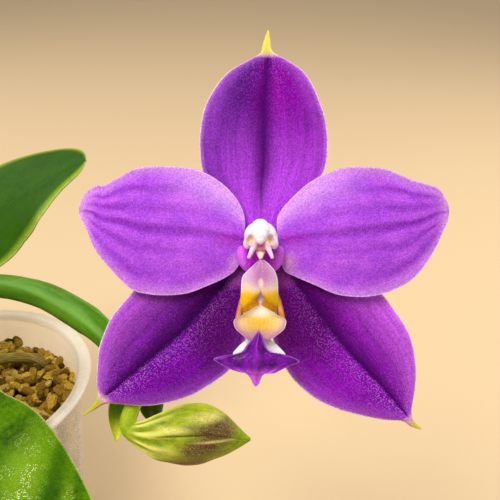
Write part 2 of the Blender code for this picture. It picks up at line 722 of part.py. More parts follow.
def make_pedicel(materials):
    """The open flower's stalk, from the spike to the flower's back."""
    path = spline([from_bloom(-21.2, -20.6, -10.2), from_bloom(-19.0, -18.8, -11.4),
                   from_bloom(-13.0, -13.0, -13.2), from_bloom(-4.0, -4.0, -12.8),
                   from_bloom(1.6, 2.0, -8.0), from_bloom(2.0, 2.6, -3.8)], 14)
    radii = [1.3] * 12 + [1.4, 1.8, 2.5]
    make_tube("pedicel", path, radii, 10, materials["spike_green"])


# Bud

BUD_SECTIONS = [(-21.6, -34.8, 1.5), (-20.2, -35.2, 2.4), (-17.9, -35.3, 3.8), (-15.5, -35.1, 4.7),
                (-12.3, -34.8, 5.6), (-9.4, -34.6, 5.6), (-7.0, -34.5, 4.9), (-4.5, -34.8, 3.7),
                (-2.3, -35.3, 2.1), (-0.8, -35.6, 0.9), (0.1, -35.7, 0.3)]
BUD_DEPTH = -4.0
BUD_SIDES = 14


def make_bud(materials):
    """The closed bud and its hooked stalk."""
    rings = []
    for x, y, half in BUD_SECTIONS:
        ring = []
        for side in range(BUD_SIDES):
            angle = math.tau * side / BUD_SIDES
            ring.append(from_bloom(x, y + half * math.cos(angle),
                                   BUD_DEPTH + half * 0.92 * math.sin(angle)))
        rings.append(ring)
    make_skin("bud", rings, materials["bud_green"])
    path = spline([from_bloom(-21.6, -25.8, -6.4), from_bloom(-22.0, -28.7, -6.7),
                   from_bloom(-22.9, -30.8, -6.1), from_bloom(-23.5, -32.4, -5.1),
                   from_bloom(-23.5, -33.8, -4.3), from_bloom(-22.9, -34.6, -4.0),
                   from_bloom(-22.0, -34.8, -4.0)], 14)
    make_tube("bud_stalk", path, [1.25] * 13 + [1.3, 1.35], 10, materials["bract_green"])


def make_spike_ends(materials):
    """The spike's growing tip beyond the bud's stalk, and the scale beside that stalk."""
    path = spline([from_bloom(-20.6, -28.2, -11.3), from_bloom(-20.0, -29.7, -11.8),
                   from_bloom(-19.2, -34.2, -12.0)], 5)
    make_tube("tip_bud", path, [1.1, 2.1, 2.4, 2.2, 1.5, 0.4], 10, materials["stem_green"])
    make_bract("bud_bract", from_bloom(-25.2, -27.0, -9.6), from_bloom(-26.0, -37.0, -7.4),
               Vector((-0.6, 0.0, 0.0)) - BLOOM_OUT * 0.8, 3.8, materials)


def make_part():
    """Build every piece."""
    for old in list(bpy.data.objects):
        bpy.data.objects.remove(old)
    materials = make_materials()
    make_pot(materials)
    path, radii = stem_path()
    make_tube("stem", path, radii, 12, materials["stem_green"])
    path, radii = stem_path(GAP)
    hole_makers = [make_tube("stem_hole", path, radii, 12, materials["bark"])]
    for name in ROOTS:
        path, radii = root_path(name)
        make_tube(name, path, radii, ROOT_SIDES, materials["root_green"])
        path, radii = root_path(name, GAP)
        hole_makers.append(make_tube("root_hole", path, radii, ROOT_SIDES, materials["bark"]))
    make_bark_mix(materials, hole_makers)
    for name in LEAVES:
        make_leaf(name, materials)
    make_spike(materials)
    make_pedicel(materials)
    make_sepals_and_petals(materials)
    make_column(materials)
    make_lip(materials)
    make_bud(materials)
    make_spike_ends(materials)


make_part()
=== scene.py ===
"""Potted moth orchid: the looks.

Lengths are millimetres here and become metres when a mesh is made, in the same frame as the
solids: +Z is up, the front is towards -Y, and the origin is the middle of the pot's flat base.
The flower is drawn in its own frame: x to the right, y up its face, z out of its face.
"""
import math
import random
from functools import cached_property

import bmesh
import bpy
import numpy as np
from mathutils import Matrix, Vector


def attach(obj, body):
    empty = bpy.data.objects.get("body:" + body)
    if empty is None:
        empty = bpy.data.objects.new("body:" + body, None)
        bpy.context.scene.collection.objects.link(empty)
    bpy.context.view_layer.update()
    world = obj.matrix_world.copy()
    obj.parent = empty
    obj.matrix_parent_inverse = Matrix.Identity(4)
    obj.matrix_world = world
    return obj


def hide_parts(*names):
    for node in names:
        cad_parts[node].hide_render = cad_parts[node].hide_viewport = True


METRES = 0.001
TABLE_STEPS = 240

POT_HEIGHT = 75.0
POT_LIP_RADIUS = 40.0
POT_TOP_RADIUS = 36.6
POT_FOOT_RADIUS = 29.0
POT_WALL = 1.0
POT_FLOOR = 1.4
POT_SIDES = 160
DRAIN_COUNT = 5
DRAIN_RADIUS = 2.6
DRAIN_RING = 17.0
DRAIN_SIDES = 32
DRAIN_CUT = 8.0
SHARP_ANGLE = math.radians(50.0)
MIX_TOP = 62.0

STEM_X = -10.0
STEM_Y = 5.0
STEM_RADIUS = 6.0
STEM_FOOT = 50.0
STEM_TOP = 98.0
STEM_ROWS = 97
SHEATH_COUNT = 7.0
SHEATH_STEP = 0.45
SHEATH_SINK = 0.2
ROOT_RADIUS = 1.9

BLOOM_TILT = math.radians(30.0)
BLOOM_CENTRE = np.array((93.0, -65.0, 161.3))
BLOOM_RIGHT = np.array((1.0, 0.0, 0.0))
BLOOM_UP = np.array((0.0, math.sin(BLOOM_TILT), math.cos(BLOOM_TILT)))
BLOOM_OUT = np.array((0.0, -math.cos(BLOOM_TILT), math.sin(BLOOM_TILT)))
SEPAL_FRONT = -2.1
PETAL_FRONT = -0.6
LIP_MIDDLE = 1.82
LIT_LEAF_Z = -55.0
BLADE_ROWS = 110
BLADE_COLUMNS = 72
HORN_START = 0.87
HORN_FULL = 0.94
LIP_SIZE = {"rows": 70, "columns": 40, "thin": 0.12}
FIBRE_PACE = 0.14
STREAK_PACE = 7.0
STALK_WAVE = 9.0
BLOB_LEVELS = 4
SOFTEN_SHARE = 0.5
SOFTEN_ROUNDS = 6
PRONG_STEPS = 6

CAMERA_DISTANCE = 125.0
CAMERA_FOCUS_PIXELS = 683.8
PICTURE_PIXELS = 500
SENSOR_WIDTH = 36.0
FLOOR_HALF = 6.0
FLOOR_CLOUDS = 3.0


# Points and curves

def from_bloom(x, y, z):
    """Points of the flower's frame in the part's frame."""
    x, y, z = np.broadcast_arrays(x, y, z)
    return (BLOOM_CENTRE + x[..., None] * BLOOM_RIGHT + y[..., None] * BLOOM_UP
            + z[..., None] * BLOOM_OUT)


def to_bloom(points):
    """Points of the part's frame in the flower's frame."""
    return (points - BLOOM_CENTRE) @ np.stack((BLOOM_RIGHT, BLOOM_UP, BLOOM_OUT), axis=1)


def curve(points, count):
    """A smooth curve through the points, as count + 1 points at even steps along the chords."""
    points = np.array(points, float)
    spans = np.linalg.norm(np.diff(points, axis=0), axis=1)
    reach = np.concatenate(([0.0], np.cumsum(spans)))
    wanted = np.linspace(0.0, reach[-1], count + 1)
    span = np.clip(np.searchsorted(reach, wanted) - 1, 0, len(points) - 2)
    share = ((wanted - reach[span]) / spans[span])[:, None]
    before = points[np.maximum(span - 1, 0)]
    start = points[span]
    end = points[span + 1]
    after = points[np.minimum(span + 2, len(points) - 1)]
    speed = (end - before) * 0.5
    square = (end - start) * 3.0 - speed * 2.0 - (after - start) * 0.5
    cube = (start - end) * 2.0 + speed + (after - start) * 0.5
    return start + speed * share + square * share ** 2 + cube * share ** 3


def smooth_table(table, shares):
    """Values at the shares, on a smooth curve through (share, value) pairs."""
    fine = curve(table, TABLE_STEPS)
    return np.interp(shares, fine[:, 0], fine[:, 1])


def ease(low, high, value):
    """0 below low, 1 above high, and smooth between."""
    share = np.clip((value - low) / (high - low), 0.0, 1.0)
    return share * share * (3.0 - 2.0 * share)


def unit(vectors):
    """Vectors at a length of one."""
    return vectors / np.linalg.norm(vectors, axis=-1, keepdims=True)


def gather(*values):
    """The values of each point side by side."""
    return np.stack(np.broadcast_arrays(*values), axis=-1)


def steady(vectors, reach):
    """Unit vectors along a path, each averaged over its neighbours within reach."""
    width = 2 * reach + 1
    padded = np.concatenate((np.repeat(vectors[:1], reach + 1, axis=0), vectors,
                             np.repeat(vectors[-1:], reach, axis=0)))
    total = np.cumsum(padded, axis=0)
    return unit((total[width:] - total[:-width]) / width)


def bell(value, width):
    """1 at zero, falling to nothing at about two widths on each side."""
    return np.exp(-(value / width) ** 2)


def ripple(points, size, seed):
    """A gentle wandering value from -1 to 1 at each point: a few waves in seeded directions."""
    draw = np.random.default_rng(seed)
    total = np.zeros(points.shape[:-1])
    for octave in range(4):
        way = unit(draw.normal(size=3))
        pace = math.tau / size * (1.0 + 0.7 * octave)
        total += np.sin(points @ way * pace + draw.uniform(0.0, math.tau)) / (1.0 + octave)
    return total / 2.1


# Meshes

def add_object(name, data):
    """A new object in the scene."""
    item = bpy.data.objects.new(name, data)
    bpy.context.scene.collection.objects.link(item)
    return item


def make_piece(name, points, faces, material, slot, nodes, marks=None):
    """A smooth mesh object that rides on the plant and stands for the named solids."""
    mesh = bpy.data.meshes.new(name)
    points = np.asarray(points, float).reshape(-1, 3)
    mesh.from_pydata((points * METRES).tolist(), [], faces)
    mesh.materials.append(material)
    mesh.polygons.foreach_set("use_smooth", [True] * len(mesh.polygons))
    for label, values in {**(marks or {}), "face": to_bloom(points)}.items():
        kind, part = ("FLOAT_VECTOR", "vector") if np.ndim(values) > 1 else ("FLOAT", "value")
        mark = mesh.attributes.new(label, kind, "POINT")
        mark.data.foreach_set(part, np.asarray(values, np.float32).ravel())
    piece = add_object(name, mesh)
    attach(piece, "root")
    if nodes:
        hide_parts(*nodes)
    return piece


def take_shape(draft):
    """The points and faces of an object with its modifiers applied. The object is removed."""
    bpy.context.view_layer.update()
    shape = draft.evaluated_get(bpy.context.evaluated_depsgraph_get()).to_mesh()
    points = np.zeros(len(shape.vertices) * 3)
    shape.vertices.foreach_get("co", points)
    faces = [tuple(polygon.vertices) for polygon in shape.polygons]
    bpy.data.objects.remove(draft)
    return points.reshape(-1, 3), faces


def ring_faces(first, rings, sides):
    """The quads between rings of points that follow one another."""
    faces = []
    for low in range(first, first + (rings - 1) * sides, sides):
        for side in range(sides):
            after = (side + 1) % sides
            faces.append((low + side, low + after, low + sides + after, low + sides + side))
    return faces


def make_sheet(name, front, back, material, slot, nodes, blade):
    """A closed sheet from a grid of front points and one of back points, with its blade marks."""
    rows, columns = front.shape[:2]
    size = rows * columns
    faces = [(corner, corner + 1, corner + columns + 1, corner + columns)
             for low in range(0, size - columns, columns) for corner in range(low, low + columns - 1)]
    faces += [tuple(size + corner for corner in face[::-1]) for face in faces]
    rim = list(range(columns - 1))
    rim += range(columns - 1, size, columns)
    rim += range(size - 2, size - columns - 1, -1)
    rim += range(size - 2 * columns, 0, -columns)
    for start, end in zip(rim, rim[1:] + rim[:1]):
        faces.append((start, size + start, size + end, end))
    points = np.concatenate((front.reshape(-1, 3), back.reshape(-1, 3)))
    marks = {"reverse": np.repeat((0.0, 1.0), size), "blade": np.tile(blade.reshape(-1, 3), (2, 1))}
    make_piece(name, points, faces, material, slot, nodes, marks)


def make_skin(name, rings, material, slot, nodes, stalk):
    """A closed solid through rings of points, with a point that closes each end."""
    count, sides = rings.shape[:2]
    first = count * sides
    last = first - sides
    faces = ring_faces(0, count, sides)
    for side in range(sides):
        after = (side + 1) % sides
        faces.append((after, side, first))
        faces.append((last + side, last + after, first + 1))
    points, marks = [np.concatenate((values.reshape(-1, 3), values[[0, -1]].mean(axis=1)))
                     for values in (rings, stalk)]
    make_piece(name, points, faces, material, slot, nodes, {"stalk": marks})


def make_tube(name, path, radii, sides, material, slot, nodes, rough):
    """A stem along a path, a little uneven, that marks how far along, right and up each point is."""
    path = np.asarray(path, float)
    along = unit(np.gradient(path, axis=0))
    side_way = np.cross(along[0], (0.0, 0.0, 1.0))
    if np.linalg.norm(side_way) < 0.05:
        side_way = np.array((1.0, 0.0, 0.0))
    angles = np.arange(sides) * math.tau / sides
    right = np.cos(angles)
    up = -np.sin(angles)
    rings = []
    for centre, way, radius in zip(path, along, radii):
        side_way = unit(side_way - way * side_way.dot(way))
        up_way = np.cross(side_way, way)
        rings.append(centre + radius * (right[:, None] * side_way + up[:, None] * up_way))
    rings = np.array(rings)
    centres = rings.mean(axis=1, keepdims=True)
    rings = centres + (rings - centres) * (1.0 + rough * ripple(rings, STALK_WAVE, len(name)))[..., None]
    share = np.linspace(0.0, 1.0, len(path))[:, None]
    make_skin(name, rings, material, slot, nodes, gather(share, right, up))


def fuse(name, blobs, voxel, material, slot, nodes, dents=()):
    """Flow several solids of the flower into one soft form, with dents pressed into its face.

    A blob is (centre, radii, turn) and a dent is (centre, radii, depth), in the flower's frame.
    """
    work = bmesh.new()
    axes = Matrix(np.stack((BLOOM_RIGHT, BLOOM_UP, BLOOM_OUT), axis=1).tolist()).to_4x4()
    for centre, radii, turn in blobs:
        place = Matrix.Translation(from_bloom(*centre).tolist()) @ axes
        place = place @ Matrix.Rotation(math.radians(turn), 4, "Z") @ Matrix.Diagonal((*radii, 1.0))
        bmesh.ops.create_icosphere(work, subdivisions=BLOB_LEVELS, radius=1.0, matrix=place)
    mesh = bpy.data.meshes.new(name)
    work.to_mesh(mesh)
    work.free()
    draft = add_object(name + "_draft", mesh)
    remesh = draft.modifiers.new("flow", "REMESH")
    remesh.mode = "VOXEL"
    remesh.voxel_size = voxel
    soften = draft.modifiers.new("soften", "SMOOTH")
    soften.factor = SOFTEN_SHARE
    soften.iterations = SOFTEN_ROUNDS
    points, faces = take_shape(draft)
    local = to_bloom(points)
    for centre, radii, depth in dents:
        reach = np.linalg.norm((local - centre) / radii, axis=1)
        local[:, 2] -= depth * (1.0 - ease(0.2, 1.0, reach))
    make_piece(name, from_bloom(*local.T), faces, material, slot, nodes)


# Shader wiring

def screen(red, green, blue):
    """A screen colour from 0 to 255 as the linear colour that a shader takes."""
    linear = [((part / 255.0 + 0.055) / 1.055) ** 2.4 for part in (red, green, blue)]
    return (*linear, 1.0)


class Wiring:
    """Short ways to add and link the nodes of one material or group."""

    def __init__(self, tree):
        self.tree = tree

    def feed(self, socket, value):
        """Link a socket to an output, or give it a number, colour or vector."""
        if isinstance(value, bpy.types.NodeSocket):
            self.tree.links.new(value, socket)
        else:
            socket.default_value = value

    def add(self, kind, *values, **settings):
        """A shader node with its settings, and values for its first inputs."""
        node = self.tree.nodes.new("ShaderNode" + kind)
        for name, value in settings.items():
            setattr(node, name, value)
        for socket, value in zip(node.inputs, values):
            self.feed(socket, value)
        return node

    def maths(self, operation, first, second=0.0):
        return self.add("Math", first, second, operation=operation).outputs[0]

    def times(self, value, *factors):
        for factor in factors:
            value = self.maths("MULTIPLY", value, factor)
        return value

    def off(self, value, middle):
        """How far a value is from a middle, on either side."""
        return self.maths("ABSOLUTE", self.maths("SUBTRACT", value, middle))

    def ease(self, value, low, high, at_low=0.0, at_high=1.0):
        """A value taken smoothly from at_low to at_high, and held beyond them."""
        return self.add("MapRange", value, low, high, at_low, at_high,
                        interpolation_type="SMOOTHSTEP").outputs[0]

    def vectors(self, operation, *values):
        return self.add("VectorMath", *values, operation=operation).outputs

    def in_steps(self, place, size):
        """A place measured in steps of a size."""
        node = self.add("VectorMath", place, operation="SCALE")
        self.feed(node.inputs["Scale"], self.maths("DIVIDE", 1.0, size))
        return node.outputs[0]

    def split(self, vector):
        return self.add("SeparateXYZ", vector).outputs

    def join(self, x, y, z):
        return self.add("CombineXYZ", x, y, z).outputs[0]

    def texture(self, kind, place, **values):
        """A texture that has a scale of one."""
        node = self.add(kind, place)
        for name, value in {"scale": 1.0, **values}.items():
            self.feed(node.inputs[name.capitalize()], value)
        return node.outputs

    def mix(self, share, first, second, blend="MIX"):
        """Two colours mixed. Three numbers are a screen colour from 0 to 255."""
        node = self.add("Mix", share, data_type="RGBA", blend_type=blend)
        # The node's colours are its inputs 6 and 7, and its output 2.
        for socket, colour in zip(node.inputs[6:8], (first, second)):
            self.feed(socket, screen(*colour) if isinstance(colour, tuple) else colour)
        return node.outputs[2]

    def mark(self, name, part="Vector"):
        """A value that the mesh carries at each point."""
        return self.add("Attribute", attribute_name=name).outputs[part]

    def place(self, group, **values):
        """Put a shader node group here, with values for its inputs."""
        node = self.add("Group", node_tree=bpy.data.node_groups[group])
        for name, value in values.items():
            self.feed(node.inputs[name.capitalize()], value)
        return node.outputs


def new_group(name, inputs, outputs):
    """A shader node group with named sockets, and the wiring to fill it."""
    group = bpy.data.node_groups.new(name, "ShaderNodeTree")
    for way, labels in (("INPUT", inputs), ("OUTPUT", outputs)):
        for label in labels.split():
            kind = "NodeSocketVector" if label in ("Place", "Centre", "Reach") else "NodeSocketFloat"
            group.interface.new_socket(label, in_out=way, socket_type=kind)
    given = group.nodes.new("NodeGroupInput").outputs
    made = group.nodes.new("NodeGroupOutput").inputs
    return Wiring(group), given, made


def make_cell_sparkle():
    """Tiny domed skin cells: a tone for each cell, a few chosen for painted glints, and their height."""
    wires, given, made = new_group("cell sparkle", "Place Cell Glints", "Tone Glint Height")
    cells = wires.texture("TexVoronoi", wires.in_steps(given["Place"], given["Cell"]))
    draws = wires.add("SeparateColor", cells["Color"]).outputs
    chosen = wires.maths("GREATER_THAN", draws[1], wires.maths("SUBTRACT", 1.0, given["Glints"]))
    core = wires.ease(cells["Distance"], 0.15, 0.62, 1.0, 0.0)
    wires.feed(made["Tone"], draws[0])
    wires.feed(made["Glint"], wires.times(chosen, core))
    wires.feed(made["Height"], wires.maths("SUBTRACT", 1.0, cells["Distance"]))


def make_vein_lines():
    """Lines that run from a blade's base to its tip, side by side, and wander a little."""
    wires, given, made = new_group("vein lines", "Across Share Count Width Wander", "Mask")
    slow = wires.join(wires.times(given["Across"], 1.5), wires.times(given["Share"], 4.0), 0.0)
    drift = wires.texture("TexNoise", slow, detail=2.0)[0]
    shift = wires.times(wires.maths("SUBTRACT", drift, 0.5), given["Wander"])
    lane = wires.maths("ADD", wires.times(given["Across"], given["Count"], 0.5), shift)
    off_line = wires.maths("PINGPONG", wires.maths("ABSOLUTE", lane), 0.5)
    wires.feed(made["Mask"], wires.ease(off_line, 0.0, given["Width"], 1.0, 0.0))


def make_soft_patch():
    """A soft oval round a centre."""
    wires, given, made = new_group("soft patch", "Place Centre Reach Softness", "Mask")
    way = wires.vectors("SUBTRACT", given["Place"], given["Centre"])["Vector"]
    reach = wires.vectors("LENGTH", wires.vectors("DIVIDE", way, given["Reach"])["Vector"])["Value"]
    inner = wires.maths("SUBTRACT", 1.0, given["Softness"])
    outer = wires.maths("ADD", 1.0, given["Softness"])
    wires.feed(made["Mask"], wires.ease(reach, inner, outer, 1.0, 0.0))


def make_cloud():
    """A cloudy value from 0 to 1, whose clouds are about as large as Size."""
    wires, given, made = new_group("cloud", "Place Size Detail", "Value")
    noise = wires.texture("TexNoise", wires.in_steps(given["Place"], given["Size"]), detail=given["Detail"])
    wires.feed(made["Value"], wires.ease(noise[0], 0.3, 0.7))


def make_margin_band():
    """A band along a blade's margin, from the distance to it."""
    wires, given, made = new_group("margin band", "Edge Width", "Mask")
    wires.feed(made["Mask"], wires.ease(given["Edge"], 0.0, given["Width"], 1.0, 0.0))


class Finish(Wiring):
    """A material whose colour is laid on in coats.

    Gloss is the shader's specular level. Flesh is how much light sinks in, and depth is how far, in
    millimetres. Marks are "blade" (across, share and edge) or "stalk" (share, right and up).
    """

    def __init__(self, name, roughness, gloss=0.5, flesh=0.0, depth=0.8, marks=None):
        self.material = bpy.data.materials.new(name)
        self.material.use_nodes = True
        super().__init__(self.material.node_tree)
        self.shader = self.tree.nodes["Principled BSDF"].inputs
        self.shader["Roughness"].default_value = roughness
        self.shader["Specular IOR Level"].default_value = gloss
        if flesh:
            self.shader["Subsurface Weight"].default_value = flesh
            self.shader["Subsurface Scale"].default_value = depth * METRES
        self.marks = self.split(self.mark(marks)) if marks else None
        self.paint = None

    @cached_property
    def face(self):
        """Each point's place in the flower's frame."""
        return self.mark("face")

    def start(self, mask, first, second):
        """Begin the paint with two colours, mixed where the mask says."""
        self.paint = self.mix(mask, first, second)

    def coat(self, colour, mask, *factors):
        """Lay a colour over the paint where the mask, times the factors, says."""
        self.paint = self.mix(self.times(mask, *factors), self.paint, colour)

    def patch(self, x, y, reach_x, reach_y, softness, z=0.0, reach_z=50.0):
        """The mask of a soft oval at a place on the flower's face."""
        return self.place("soft patch", place=self.face, centre=(x, y, z),
                          reach=(reach_x, reach_y, reach_z), softness=softness)[0]

    def spots(self, colour, strength, softness, *ovals):
        """Lay a colour over soft ovals, each given as its x, y and two reaches."""
        for oval in ovals:
            self.coat(colour, self.patch(*oval, softness), strength)

    def cloud(self, size, detail, place=None):
        place = self.face if place is None else place
        return self.place("cloud", place=place, size=size, detail=detail)[0]

    def stretched(self, x, y, z):
        """A place on the face, with each way drawn closer by a factor of its own."""
        return self.vectors("MULTIPLY", self.face, (x, y, z))["Vector"]

    def fibres(self, size):
        """Fine clouds drawn out along a blade."""
        across, share = self.marks[:2]
        return self.cloud(size, 2.0, self.join(across, self.times(share, FIBRE_PACE), 0.0))

    def streaks(self, pace, size, detail):
        """Clouds drawn out along a stalk."""
        share, right, up = self.marks
        place = self.join(self.times(share, STREAK_PACE), self.times(right, pace), self.times(up, pace))
        return self.cloud(size, detail, place)

    def veins(self, count, width, wander):
        across, share = self.marks[:2]
        return self.place("vein lines", across=across, share=share, count=count, width=width,
                          wander=wander)[0]

    def rib(self, inner, outer, strength):
        """The mask of a blade's midrib, which fades between two distances across."""
        return self.ease(self.maths("ABSOLUTE", self.marks[0]), inner, outer, strength, 0.0)

    def band(self, width):
        return self.place("margin band", edge=self.marks[2], width=width)[0]

    def cells(self, size, glints):
        return self.place("cell sparkle", place=self.face, cell=size, glints=glints)

    def vary(self, cells, contrast):
        """Give each skin cell a tone of its own."""
        tone = self.ease(cells["Tone"], 0.0, 1.0, 1.0 - contrast, 1.0 + contrast)
        self.paint = self.mix(1.0, self.paint, self.join(tone, tone, tone), "MULTIPLY")

    def skin(self, size, glints, bright, contrast, glint_strength=0.6):
        """Break the paint up into skin cells, paint glints on some of them, and return their height."""
        cells = self.cells(size, glints)
        self.vary(cells, contrast)
        # Painted glints: bright specks on the chosen cells.
        self.coat(bright, cells["Glint"], glint_strength)
        return cells["Height"]

    def done(self, height, relief):
        """Give the shader the paint and a relief in millimetres, and return the material."""
        bump = self.add("Bump")
        bump.inputs["Distance"].default_value = relief * METRES
        self.feed(bump.inputs["Height"], height)
        self.feed(self.shader["Normal"], bump.outputs[0])
        self.feed(self.shader["Base Color"], self.paint)
        return self.material


# Flower materials

def make_petal_finish():
    """Violet petal: pale margin and shoulder with painted highlight, dark veins to the tip, painted glints.
    """
    finish = Finish("petal_violet", roughness=0.6, gloss=0.08, flesh=0.1, marks="blade")
    across, share = finish.marks[:2]
    ease = finish.ease
    finish.start(finish.cloud(5.0, 3.0), (167, 72, 228), (194, 92, 242))
    finish.coat((146, 46, 214), finish.fibres(0.022), 0.3)
    outer = finish.times(ease(share, 0.3, 0.65, 0.1, 1.0), ease(share, 0.98, 0.86))
    patchy = ease(finish.cloud(5.0, 1.0), 0.0, 1.0, 0.45, 1.0)
    finish.coat((118, 14, 176), finish.veins(6.2, 0.42, 0.9), outer, patchy, 0.66)
    finish.coat((230, 168, 236), ease(share, 0.84, 1.0, 0.0, 0.6))
    rib = finish.times(finish.rib(0.02, 0.13, 0.72), ease(share, 0.05, 0.35, 0.5, 0.65))
    finish.coat((122, 18, 174), rib)
    # Pale inner shoulder: partly the petal's own paler colour, partly a painted highlight where it faces the
    # light.
    finish.coat((228, 178, 250), ease(across, 0.25, 0.95), ease(share, 0.62, 0.25), 0.66)
    finish.spots((150, 14, 172), 0.6, 0.8, (-3.3, 1.9, 2.8, 1.2), (7.9, 1.9, 2.8, 1.2))
    finish.spots((232, 172, 208), 0.5, 0.8, (-2.6, -2.3, 1.2, 1.5), (6.9, -2.3, 1.5, 1.5))
    finish.coat((216, 150, 242), finish.band(2.8), 0.62)
    # Thin near-white rim: partly the pale margin, partly painted rim light; none at the base.
    finish.coat((240, 204, 252), finish.band(0.4), ease(share, 0.04, 0.25, 0.0, 0.5))
    back = finish.mix(rib, (186, 128, 208), (222, 196, 214))
    finish.coat(back, finish.mark("reverse", "Fac"), 0.8)
    return finish.done(finish.skin(0.19, 0.3, (234, 184, 252), 0.22, 0.2), 0.05)


def make_sepal_finish(name, lower, upper, crease, base, lit, tip, under, sparkle, near, far, horned, lit_end):
    """Dark violet sepal: crease with painted shade, pale margin, horned tip, painted light and glints.

    Across is positive on the side of the crease where its painted shade fades slowly: the upper half
    of a side sepal and the left half of the top one. The painted shade reaches near and far on its two
    sides. The horn's colour starts at the share horned, and the painted light on the positive side has
    faded at the share lit_end.
    """
    finish = Finish(name, roughness=0.58, gloss=0.02, flesh=0.06, marks="blade")
    across, share = finish.marks[:2]
    ease = finish.ease
    before_horn = (share, horned + 0.028, horned - 0.032)
    finish.start(ease(across, -0.3, 0.5), lower, upper)
    finish.coat(crease, finish.cloud(6.0, 3.0), 0.3)
    finish.coat(base, ease(share, 0.2, 0.64, 0.95, 0.0))
    # Painted light on the positive side, from near the base to past the middle, lifting the shade under the
    # petals.
    finish.coat(lit, ease(across, 0.25, 0.95, 0.0, 0.9), ease(share, lit_end, lit_end - 0.3),
                ease(share, 0.08, 0.25))
    finish.coat(crease, finish.fibres(0.03), 0.3)
    finish.coat(crease, finish.veins(9.0, 0.36, 0.8), 0.12)
    finish.spots((80, 4, 96), 0.75, 0.7, (-6.5, -14.0, 4.5, 7.0), (11.2, -14.0, 4.5, 7.0))
    # Painted light beside the foot, lifting the shade under the petals' inner corners.
    finish.spots((190, 84, 184), 0.4, 0.7, (-2.4, -5.2, 2.2, 1.6), (6.4, -5.2, 2.2, 1.6))
    finish.spots((156, 6, 168), 0.35, 0.8, (5.2, 30.5, 3.6, 6.0))
    finish.coat((184, 94, 228), finish.band(4.5), ease(share, 0.35, 0.7, 0.1, 0.45))
    finish.coat((210, 142, 236), finish.band(1.2), 0.4)
    # Thin near-white rim: partly the pale margin, partly painted rim light.
    finish.coat((244, 218, 244), finish.band(0.34), 0.8)
    # Painted shade beside the crease, weaker near the base and gone on the horn.
    shade = finish.times(ease(across, far, 0.0), ease(across, -near, 0.0), ease(*before_horn, 0.0, 0.85),
                         ease(share, 0.08, 0.32, 0.2, 1.0))
    finish.coat(crease, shade)
    # Painted shade in the groove of the crease; on the back the same mask paints a paler midline.
    groove = finish.times(finish.rib(0.0, 0.05, 0.6), ease(share, 0.08, 0.32, 0.3, 1.0))
    finish.coat(crease, groove, ease(*before_horn))
    back = finish.mix(groove, (146, 78, 172), (186, 164, 158))
    finish.coat(back, finish.mark("reverse", "Fac"), 0.8)
    finish.coat((234, 184, 206), ease(share, horned - 0.027, horned + 0.013, 0.0, 0.8))
    # Painted glints: most on the negative side just beside the crease and towards the tip, none in the
    # painted shade or on the horn.
    shine = finish.times(ease(across, -0.5, -0.12), ease(across, 0.03, -0.05),
                         ease(share, 0.25, 0.85, 0.3, 1.0), sparkle)
    shine = finish.maths("ADD", finish.maths("ADD", shine, ease(share, 0.6, 0.85, 0.0, 0.22)), 0.12)
    shine = finish.times(shine, finish.maths("SUBTRACT", 1.0, shade),
                         ease(share, horned + 0.008, horned - 0.012))
    height = finish.skin(0.17, 0.34, (230, 172, 238), 0.26, shine)
    finish.coat(finish.mix(ease(across, 0.2, -0.8), tip, under), ease(share, horned, horned + 0.033))
    return finish.done(height, 0.05)


def make_column_finish():
    """Waxy white column with painted lilac shade towards its lower end, and cream eyes."""
    finish = Finish("column_white", roughness=0.34, gloss=0.3, flesh=0.3)
    y = finish.split(finish.face)[1]
    finish.start(finish.cloud(1.5, 2.0), (250, 238, 250), (236, 214, 240))
    # Painted shade: lilac towards the lower end of the hood.
    finish.coat((226, 168, 224), finish.ease(y, 0.3, 2.2, 0.5, 0.0))
    finish.spots((186, 120, 200), 0.6, 0.25, (0.15, 1.7, 0.95, 1.2), (3.5, 1.7, 0.95, 1.2))
    finish.spots((236, 208, 170), 1.0, 0.3, (0.15, 1.6, 0.6, 0.85), (3.5, 1.6, 0.6, 0.85))
    finish.spots((222, 130, 180), 0.8, 0.4, (1.85, 0.85, 0.9, 0.75))
    finish.spots((186, 96, 44), 0.85, 0.4, (1.85, -0.15, 0.9, 0.26))
    finish.spots((250, 232, 205), 1.0, 0.3, (1.85, -1.15, 0.95, 0.8))
    return finish.done(finish.cells(0.15, 0.0)["Height"], 0.015)


def make_cap_finish():
    """Waxy white cap, a little rosy at its end."""
    finish = Finish("cap_cream", roughness=0.32, gloss=0.3, flesh=0.3)
    y = finish.split(finish.face)[1]
    finish.start(finish.ease(y, 0.8, 2.4, 0.7, 0.0), (252, 243, 250), (242, 214, 226))
    finish.coat((230, 204, 238), finish.cloud(1.2, 2.0), 0.35)
    return finish.done(finish.cells(0.15, 0.0)["Height"], 0.015)


def make_foot_finish():
    """Magenta cheeks, lighter on their outer sides as a painted highlight, with a deep violet valley between
    them.
    """
    finish = Finish("foot_magenta", roughness=0.45, gloss=0.2, flesh=0.2)
    x, y = finish.split(finish.face)[:2]
    side = finish.maths("SUBTRACT", finish.off(x, 1.9), finish.times(y, 0.2))
    # Painted highlight: the cheeks lighten towards their outer sides.
    finish.start(finish.ease(side, 2.0, 3.9), (184, 14, 208), (214, 96, 248))
    return finish.done(finish.skin(0.16, 0.1, (240, 190, 252), 0.14), 0.02)


